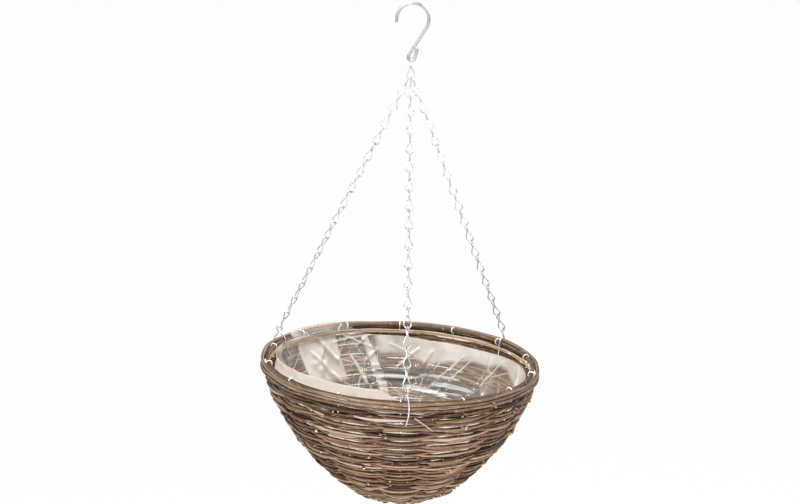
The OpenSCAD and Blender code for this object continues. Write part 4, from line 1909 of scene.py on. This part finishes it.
@dataclass
class Liner:
    """The sheet of clear film inside the weave, gathered at the rim and crumpled where it was pushed down.

    Places on it are a bearing in degrees and a distance down the wall. A fold runs from one place to another,
    the strip's places have its width with them, and each painted highlight and painted reflection has its
    half width and its strength with its places, above 0 for a white highlight and below 0 for a grey
    reflection. A pair of numbers for milk or length is the least and what is added.
    """

    form: BowlForm
    columns: int = 400
    rows: int = 114
    crowding: float = 0.4
    row_power: float = 1.2
    clear: float = 6.8
    thickness: float = 0.2
    cut_d: float = 526.0
    star: Pair = (136.5, 44.0)
    strip: tuple[Triple, ...] = (
        (108.5, 16.0, 8.0),
        (101.5, 80.0, 14.0),
        (99.0, 118.0, 12.0),
    )
    folds: tuple[tuple[float, float, float, float], ...] = (
        (115, 48, 108, 92),
        (117, 40, 110, 88),
        (55, 30, 73, 88),
        (51, 36, 67, 92),
        (122, 8, 104, 34),
        (127, 20, 100, 12),
        (30, 20, 40, 66),
        (96, 26, 84, 40),
        (80, 30, 93, 62),
    )
    # Painted white highlights, with a strength above 0, and painted grey reflections, below 0, along the
    # folds.
    painted_sheens: tuple[tuple[float, float, float, float, float, float], ...] = (
        (112, 70.5, 82, 72.5, 2.8, 1.0),
        (84, 69, 50, 67.5, 2.6, 1.0),
        (76, 79.5, 38, 78, 3.6, 1.0),
        (92, 86, 56, 95, 4.4, 0.9),
        (66, 90, 46, 87, 2.4, 0.8),
        (108, 65, 82, 66, 3.0, -1.0),
        (104, 77, 80, 79, 3.2, -1.0),
        (88, 63.5, 64, 63, 3.6, -1.0),
        (80, 74.5, 42, 73, 2.8, -0.9),
        (76, 84.5, 46, 84, 3.2, -0.9),
        (60, 99, 44, 95, 3.0, -0.7),
        (116, 84, 102, 84, 3.0, -0.7),
    )
    rays: tuple[float, ...] = (0, 48, 70, 118, 150, 214, 240, 265, 322, 360)
    ray_heights: tuple[float, ...] = (0.5, 0.1, 0.9, 0.25, 0.5, 0.0, 1.0, 0.3, 0.1, 0.5)
    gathers: int = 110
    gather_tops: Pair = (-5, 150)
    gather_lengths: Pair = (20, 70)
    gather_slant: float = 11
    gather_reach: float = 4.0
    gather_heights: Pair = (1.2, 3.6)
    gather_milk: Pair = (0.1, 0.35)
    fold_reach: float = 2.2
    fold_height: float = 1.6
    fold_milk: float = 0.6
    strip_height: float = 1.8
    strip_milk: float = 0.62
    star_height: float = 2.0
    star_milk: float = 0.6
    star_r: float = 9.0
    ray_height: float = 5.0
    ray_milk: float = 0.35
    ray_length: Pair = (18.0, 14.0)
    patch_milk: Pair = (0.5, 0.2)
    big_facet: float = 46.0
    small_facet: float = 19.0
    facet_heights: Pair = (3.0, 1.5)
    facet_milk: Pair = (0.1, 0.08)
    deep: Pair = (120.0, 200.0)
    ripple_height: float = 1.5
    ripple_pitch: float = 9.5
    hang: float = 40.0
    hang_milk: float = 0.36
    edge_milk: float = 0.6
    front: float = 268.0
    front_milk: Pair = (0.78, 0.45)
    front_height: float = 1.6
    over_rim_milk: float = 0.2
    left_end_milk: float = 0.6
    edge_rise: Pair = (-5.0, 12.0)
    flop_out: float = 5.5
    most_milk: float = 1.3
    patch: Stretch = Stretch(134.0, 13.5, 11.5)
    rippled: Stretch = Stretch(75.0, 42.0, 28.0)
    right_back: Stretch = Stretch(48.0, 58.0, 52.0)
    left_front: Stretch = Stretch(229.0, 48.0, 40.0)
    left_end: Stretch = Stretch(182.0, 22.0, 12.0)
    over_rim: Stretch = Stretch(154.0, 46.0, 40.0)
    flop: Stretch = Stretch(135.0, 20.0, 15.0)
    edge_heights: tuple[Pair, ...] = (
        (0, -10), (22, -13), (48, -18), (75, -18), (88, -15), (104, -13), (111, -9), (115, 0), (122, 7.5),
        (148, 7.5), (156, 5), (186, 4.5), (196, 8), (230, 10.5), (262, 10), (271, -2), (300, -5), (340, -8),
        (360, -10),
    )
    rests_on: Sequence[Piece] = ()
    merge_gap: float = 0.02
    seed: int = 23

    def __post_init__(self) -> None:
        """Starts the random draws."""
        self.rng = np.random.default_rng(self.seed)

    def _grid(self) -> FilmGrid:
        """Lays out the grid, from the film's edge to the middle of the base.

        Returns:
            The grid, still smooth and clear.
        """
        form = self.form
        turn = np.arange(self.columns) * FULL_TURN / self.columns
        turn = turn + math.degrees(self.crowding) * wave(turn)
        bearing, down = np.meshgrid(turn, np.linspace(0.0, 1.0, self.rows) ** self.row_power)
        edge = np.interp(bearing % FULL_TURN, *zip(*self.edge_heights, strict=True))
        edge_s = -edge / math.cos(math.radians(form.wall_lean))
        full = form.length + form.base_hole_d / 2
        s = edge_s + (full - edge_s) * down
        return FilmGrid(bearing, s, s - edge_s, *np.zeros((4, *s.shape)))

    def _cells(self, points: Array, spacing: float) -> Array:
        """Measures how far points lie from the nearest of many scattered seeds.

        Args:
            points: the points, one row each.
            spacing: the usual distance between seeds.

        Returns:
            The distances as shares of the spacing, which have sharp ridges between the seeds.
        """
        low, high = points.min(0) - spacing, points.max(0) + spacing
        count = int(0.5 * np.prod(np.maximum((high - low) / spacing, 1.0)))
        seeds = self.rng.uniform(low, high, (count, 3))
        nearest = np.full(len(points), np.inf)
        for block in np.array_split(seeds, max(1, count // 64)):
            gap = np.linalg.norm(points[:, None, :] - block[None, :, :], axis=2).min(1)
            nearest = np.minimum(nearest, gap)
        return np.clip(nearest / spacing, 0.0, 1.4)

    def _along(self, grid: FilmGrid, fold: Sequence[float]) -> tuple[Array, Array]:
        """Measures a grid about a fold.

        Args:
            grid: the film's grid.
            fold: the fold's two places as four numbers.

        Returns:
            Where each point lies along the fold, from 0 to 1 between its ends, and its distance aside in
            millimetres.
        """
        b0, s0, b1, s1 = fold
        r, _ = self.form.wall(np.array((s0 + s1) / 2), -self.clear)
        per_degree = math.radians(float(r))
        x, y = bearing_gap(grid.bearing, b0) * per_degree, grid.s - s0
        dx, dy = float(bearing_gap(b1, b0)) * per_degree, s1 - s0
        length = math.hypot(dx, dy)
        return (x * dx + y * dy) / length**2, (x * dy - y * dx) / length

    def _gather(self, grid: FilmGrid) -> None:
        """Lays out the folds that take up the film's spare width, and the double strip beside them.

        Args:
            grid: the film's grid.
        """
        for _ in range(self.gathers):
            b0, s0 = self.rng.uniform(0, FULL_TURN), self.rng.uniform(*self.gather_tops)
            b1, s1 = b0 + self.rng.normal(0, self.gather_slant), s0 + self.rng.uniform(*self.gather_lengths)
            t, aside = self._along(grid, (b0, s0, b1, s1))
            inside = ease(np.abs(t - 0.5), 0.5, 0.3)
            ridge = np.clip(1 - np.abs(aside) / self.gather_reach, 0, 1)
            grid.stand += self.rng.uniform(*self.gather_heights) * inside * ridge
            grid.milk += self.rng.uniform(*self.gather_milk) * inside * ease(np.abs(aside), 1.8, 0.6)
        for fold in self.folds:
            t, aside = self._along(grid, fold)
            inside = ease(np.abs(t - 0.5), 0.52, 0.44)
            ridge = np.clip(1 - np.abs(aside) / self.fold_reach, 0, 1)
            grid.stand += self.fold_height * inside * ridge
            grid.milk += self.fold_milk * inside * ease(np.abs(aside), 1.7, 0.7)
        for (b0, s0, w0), (b1, s1, w1) in zip(self.strip[:-1], self.strip[1:], strict=True):
            t, aside = self._along(grid, (b0, s0, b1, s1))
            width = (w0 + (w1 - w0) * np.clip(t, 0, 1)) / 2
            inside = ease(np.abs(t - 0.5), 0.52, 0.5)
            band = inside * ease(np.abs(aside) - width, 0.8, -0.8)
            grid.milk = np.maximum(grid.milk, self.strip_milk * band)
            grid.stand += self.strip_height * band

    def _facet(self, grid: FilmGrid) -> None:
        """Crumples the whole film into large and small facets, more so in the depth of the bowl.

        Args:
            grid: the film's grid.
        """
        form = self.form
        smooth = form.on_wall(grid.bearing, np.clip(grid.s, 0.0, form.length), -self.clear).reshape(-1, 3)
        grid.big = self._cells(smooth, self.big_facet).reshape(grid.s.shape)
        grid.small = self._cells(smooth, self.small_facet).reshape(grid.s.shape)
        low = ease(grid.s, *self.deep)
        big, small = self.facet_heights
        grid.stand += grid.big * big * (0.4 + 0.6 * low) + grid.small * small * (0.4 + 0.5 * low)
        big, small = self.facet_milk
        grid.milk += big * grid.big + small * grid.small

    def _crumple(self, grid: FilmGrid) -> None:
        """Crumples the film about one point, with flat facets that meet there in a milky patch.

        Args:
            grid: the film's grid.
        """
        b0, s0 = self.star
        x = bearing_gap(grid.bearing, b0) * math.radians(self.form.wall_r - self.clear)
        y = grid.s - s0
        far = np.hypot(x, y)
        ridge = np.interp(np.degrees(np.arctan2(y, x)) % FULL_TURN, self.rays, self.ray_heights)
        least, more = self.ray_length
        fade = ease(far, least + more * ridge, 6.0)
        peak = self.star_height * ease(far, self.star_r, 0.0)
        grid.stand += self.ray_height * fade * ridge * np.clip(far / self.star_r, 0.0, 1.0) + peak
        rays = self.ray_milk * fade * ease(ridge, 0.75, 0.98)
        grid.milk += self.star_milk * ease(far, 13.0, 3.0) + rays
        drift = 2.0 * grid.big - (grid.s - 40.0) * 0.04
        patch = self.patch.share(grid.bearing, drift) * ease(grid.s, 6.0, 10.0)
        least, more = self.patch_milk
        grid.milk += (least + more * grid.small) * patch * ease(grid.s, 80.0, 66.0)

    def _ripple(self, grid: FilmGrid) -> None:
        """Ripples the film where it slid down the back wall."""
        rippled = self.rippled.share(grid.bearing) * ease(np.abs(grid.s - 80.0), 30.0, 16.0)
        grid.stand += self.ripple_height * rippled * (1 + wave(FULL_TURN * grid.s / self.ripple_pitch))

    def _cloud(self, grid: FilmGrid) -> Array:
        """Makes the film milky where it hangs in a second layer from the rim, and all over the front wall.

        Args:
            grid: the film's grid.

        Returns:
            How much the film glows in front of the light, from 0 to 1.
        """
        bearing, s, big, small = grid.bearing, grid.s, grid.big, grid.small
        reach = self.hang + 5.0 * wave(bearing * 5) + 3.0 * sway(bearing * 11) + 7.0 * big
        reach = reach - 9.0 * ease(bearing % FULL_TURN, 70.0, 30.0)
        hang = ease(s, reach + 4.0, reach - 7.0)
        hang_milk = self.hang_milk + 0.2 * small + 0.2 * ease(bearing % FULL_TURN, 96.0, 76.0)
        edge = ease(grid.from_edge, 24.0, 16.0) * self.edge_milk
        grid.milk += hang * hang_milk * self.right_back.share(bearing) + edge * self.left_front.share(bearing)
        aside = np.abs(bearing_gap(bearing, self.front)) + 16.0 * (big - 0.5) + 8.0 * (small - 0.5)
        front = ease(aside, 100.0, 62.0) * ease(s, 190.0, 120.0)
        least, more = self.front_milk
        grid.milk = np.maximum(grid.milk, (least + more * small) * front)
        grid.stand += self.front_height * small * front * ease(s, 60.0, 30.0)
        over = self.over_rim_milk * self.over_rim.share(bearing) * ease(s, 12.0, 3.0)
        grid.milk = np.maximum(grid.milk, over)
        grid.milk = np.maximum(grid.milk, self.left_end_milk * self.left_end.share(bearing) * hang)
        return front * ease(s, 6.0, 14.0)

    def _painted_sheen(self, grid: FilmGrid) -> Array:
        """Paints white highlights and grey reflections along the folds.

        Args:
            grid: the film's grid.

        Returns:
            Up to 1 where a fold gets a painted highlight, and down to -1 where it gets a painted grey
            reflection.
        """
        painted_sheen = np.zeros_like(grid.bearing)
        for *fold, width, strength in self.painted_sheens:
            t, aside = self._along(grid, fold)
            lens = width * np.sqrt(np.clip(1 - (2 * t - 1) ** 2, 0.0, 1.0))
            ends = ease(np.abs(t - 0.5), 0.5, 0.3)
            mark = strength * ease(np.abs(aside) - lens, 0.9, -2.2) * ends
            painted_sheen = np.where(np.abs(mark) > np.abs(painted_sheen), mark, painted_sheen)
        return painted_sheen

    def _laid(self, grid: FilmGrid) -> Array:
        """Lays the film in the bowl, tucked inside the hoop and flopped over the rim at the left back.

        Args:
            grid: the film's grid.

        Returns:
            The points in metres, row by row from the edge to the middle.
        """
        form = self.form
        rise = ease(grid.from_edge, *self.edge_rise)
        r, z = form.wall(np.clip(grid.s, 0.0, form.length), -(self.clear + grid.stand * rise))
        tuck = form.hoop_d + form.rib_d + form.seat
        inside = ease(grid.s, 16.0, 0.0) * tuck
        flop = self.flop.share(grid.bearing) * ease(grid.s, 2.0, -6.0)
        r = r - inside + flop * (tuck + self.flop_out)
        z = z + np.clip(-grid.s, 0.0, None)
        over = np.clip(grid.s - form.length, 0.0, None)
        middle = np.clip(1 - over / (form.base_hole_d / 2), 0.0, 1.0)
        r = np.where(over > 0, r * middle, r)
        return form.place(grid.bearing, r, z).reshape(-1, 3) * MM

    def build(self, finish: Material) -> Piece:
        """Makes the film.

        Args:
            finish: its material.

        Returns:
            The finished sheet.
        """
        grid = self._grid()
        for shape in (self._gather, self._facet, self._crumple, self._ripple):
            shape(grid)
        glow = self._cloud(grid)
        # The painted highlights and reflections ride on the film as a mark.
        marks = {"milk": np.clip(grid.milk, 0.0, self.most_milk), "painted_sheen": self._painted_sheen(grid), "glow": glow}
        return self._mesh(self._laid(grid), marks, finish)

    def _mesh(
        self, points: Array, marks: dict[str, Array], finish: Material
    ) -> Piece:
        """Bends a flat grid into the film.

        Args:
            points: the points in metres, row by row from the edge to the middle.
            marks: the numbers that the finish reads at each point, by name.
            finish: the material.

        Returns:
            The finished sheet.
        """
        deselect()
        bpy.ops.mesh.primitive_grid_add(x_subdivisions=self.columns, y_subdivisions=self.rows - 1, size=1.0)
        film = bpy.context.object
        film.name = "film_liner"
        mesh = film.data
        around = np.arange(self.columns + 1) % self.columns
        index = (np.arange(self.rows)[:, None] * self.columns + around[None, :]).ravel()
        mesh.vertices.foreach_set("co", np.ascontiguousarray(points[index], np.float32).ravel())
        for name, numbers in marks.items():
            write(mesh, name, numbers.ravel()[index])
        merge_doubles(self.merge_gap, inside=True)
        bpy.ops.object.shade_smooth()
        LOG.info("the film measures %.4f square metres", sum(face.area for face in mesh.polygons))
        solid = film.modifiers.new("thickness", "SOLIDIFY")
        solid.thickness = self.thickness * MM
        solid.offset = 0.0
        bpy.ops.object.modifier_apply(modifier=solid.name)
        cover(mesh, finish)
        dress(film, Slot.FILM, "liner")
        cut = self.cut_d * MM
        math.pi * cut * cut / 4
        return film


@dataclass(frozen=True)
class Studio:
    """The camera, the lamps, the pale floor and the world.

    The picture's width and the focal length are in pixels. The aim is the point that the camera looks at, in
    millimetres about the rim's centre, and the floor, the sight and the lamps are in metres. A lamp has a
    name, a place, a size and its power in watts.
    """

    picture_w: float = 800.0
    focal_px: float = 1435.26
    distance: float = 1800.0
    elevation: float = 12.75
    roll: float = 1.87
    aim_x: float = -4.67
    aim_z: float = 143.28
    sensor: float = 36.0
    floor_z: float = -1.15
    floor_size: float = 120.0
    sight: float = 300.0
    dome_edge: Pair = (-0.1, 0.8)
    dome_light: Pair = (0.36, 0.96)
    lit: Triple = (0.0, 0.0, -0.45)
    lamps: tuple[tuple[str, Triple, float, float], ...] = (
        ("key", (-0.95, -1.3, 2.1), 1.0, 84.0),
        ("fill", (0.1, -1.0, -1.0), 0.9, 11.0),
        ("back", (1.2, 0.7, 0.8), 1.0, 26.0),
    )

    def camera(self, form: BowlForm) -> None:
        """Adds the camera at the photograph's viewing angle.

        Args:
            form: the bowl, about whose rim the camera is placed.
        """
        e, roll = self.elevation, self.roll
        ahead = Vector((0.0, wave(e), -sway(e)))
        level_up = Vector((0.0, sway(e), wave(e)))
        level_right = Vector((1.0, 0.0, 0.0))
        right = level_right * wave(roll) + level_up * sway(roll)
        up = level_up * wave(roll) - level_right * sway(roll)
        aim = form.centre + Vector((self.aim_x, 0.0, self.aim_z))
        place = (aim - ahead * self.distance) * MM
        bpy.ops.object.camera_add(location=place)
        camera = bpy.context.object
        turn = Matrix((right, up, -ahead)).transposed()
        camera.matrix_world = Matrix.Translation(place) @ turn.to_4x4()
        camera.data.sensor_width = self.sensor
        camera.data.lens = self.focal_px * self.sensor / self.picture_w
        camera.data.clip_end = self.sight
        bpy.context.scene.camera = camera

    def world(self) -> None:
        """Sets a soft pale world that looks white behind the basket."""
        world = bpy.context.scene.world or bpy.data.worlds.new("studio")
        bpy.context.scene.world = world
        graph = Graph(world)
        seen = graph.background_rays()
        upward = graph.node("ShaderNodeTexCoord").outputs["Generated"]
        height = graph.node("ShaderNodeSeparateXYZ", None, {0: upward}).outputs["Z"]
        low, high = self.dome_light
        dome = Value(graph, height).above(*self.dome_edge) * (high - low) + low
        sockets = {"Color": WHITE, "Strength": dome * (1.0 - seen) + seen}
        graph.finish(graph.node("ShaderNodeBackground", None, sockets), "ShaderNodeOutputWorld")

    def light(self) -> None:
        """Adds the soft lamps, all turned towards one point."""
        for name, place, size, power in self.lamps:
            bpy.ops.object.light_add(type="AREA", location=place)
            lamp = bpy.context.object
            lamp.name = name
            lamp.data.shape = "DISK"
            lamp.data.size = size
            lamp.data.energy = power
            way = Vector(self.lit) - Vector(place)
            lamp.rotation_euler = way.to_track_quat("-Z", "Y").to_euler()

    def floor(self) -> None:
        """Adds the floor, far below the basket."""
        bpy.ops.mesh.primitive_plane_add(size=self.floor_size, location=(0.0, 0.0, self.floor_z))
        floor = bpy.context.object
        floor.name = "floor"
        floor.data.materials.append(BackdropFinish().build())

    def build(self, form: BowlForm) -> None:
        """Sets up the whole studio about the bowl.

        Args:
            form: the bowl.
        """
        bpy.context.scene.view_settings.view_transform = "Standard"
        self.camera(form)
        self.world()
        self.light()
        self.floor()


def refinish(nodes: dict[str, Piece], name: str, finish: Material) -> None:
    """Gives a node of the frame a better finish.

    Args:
        nodes: the frame's nodes.
        name: the node's name.
        finish: its new material.
    """
    slots = nodes[name].material_slots
    for slot in slots:
        slot.material = finish
    LOG.info("%s keeps its shape with the finish %s", name, finish.name)


def main() -> None:
    """Builds the basket around its frame."""
    logging.basicConfig(level=logging.INFO, format="%(name)s: %(message)s")
    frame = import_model()
    low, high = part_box("hoop")
    centre = (low + high) / 2 / MM - Vector((0.0, 0.0, BowlForm.hoop_height))
    form = BowlForm(centre)
    Studio().build(form)
    bark, rim_bark, peeled = BARK.build(), RIM_BARK.build(), PEELED.build()
    chain_wire, frame_wire = CHAIN_WIRE.build(), FRAME_WIRE.build()
    refinish(frame["nodes"], "hook", HOOK_WIRE.build())
    refinish(frame["nodes"], "base_ring", frame_wire)
    wall = Weave(form).build(bark)
    Twigs(form).build(bark)
    Rim(form).build(rim_bark, peeled)
    WireFrame(form).build(frame_wire)
    swing = next(joint for joint in frame["joints"] if joint["name"] == "basket_swing")
    Chains(form, swing["pos_m"][2] / MM).build(chain_wire, SHADED_FRONT_CHAIN_WIRE.build())
    Base(form).build(bark)
    Liner(form, rests_on=wall).build(CLEAR_FILM.build())


if __name__ == "__main__":
    main()
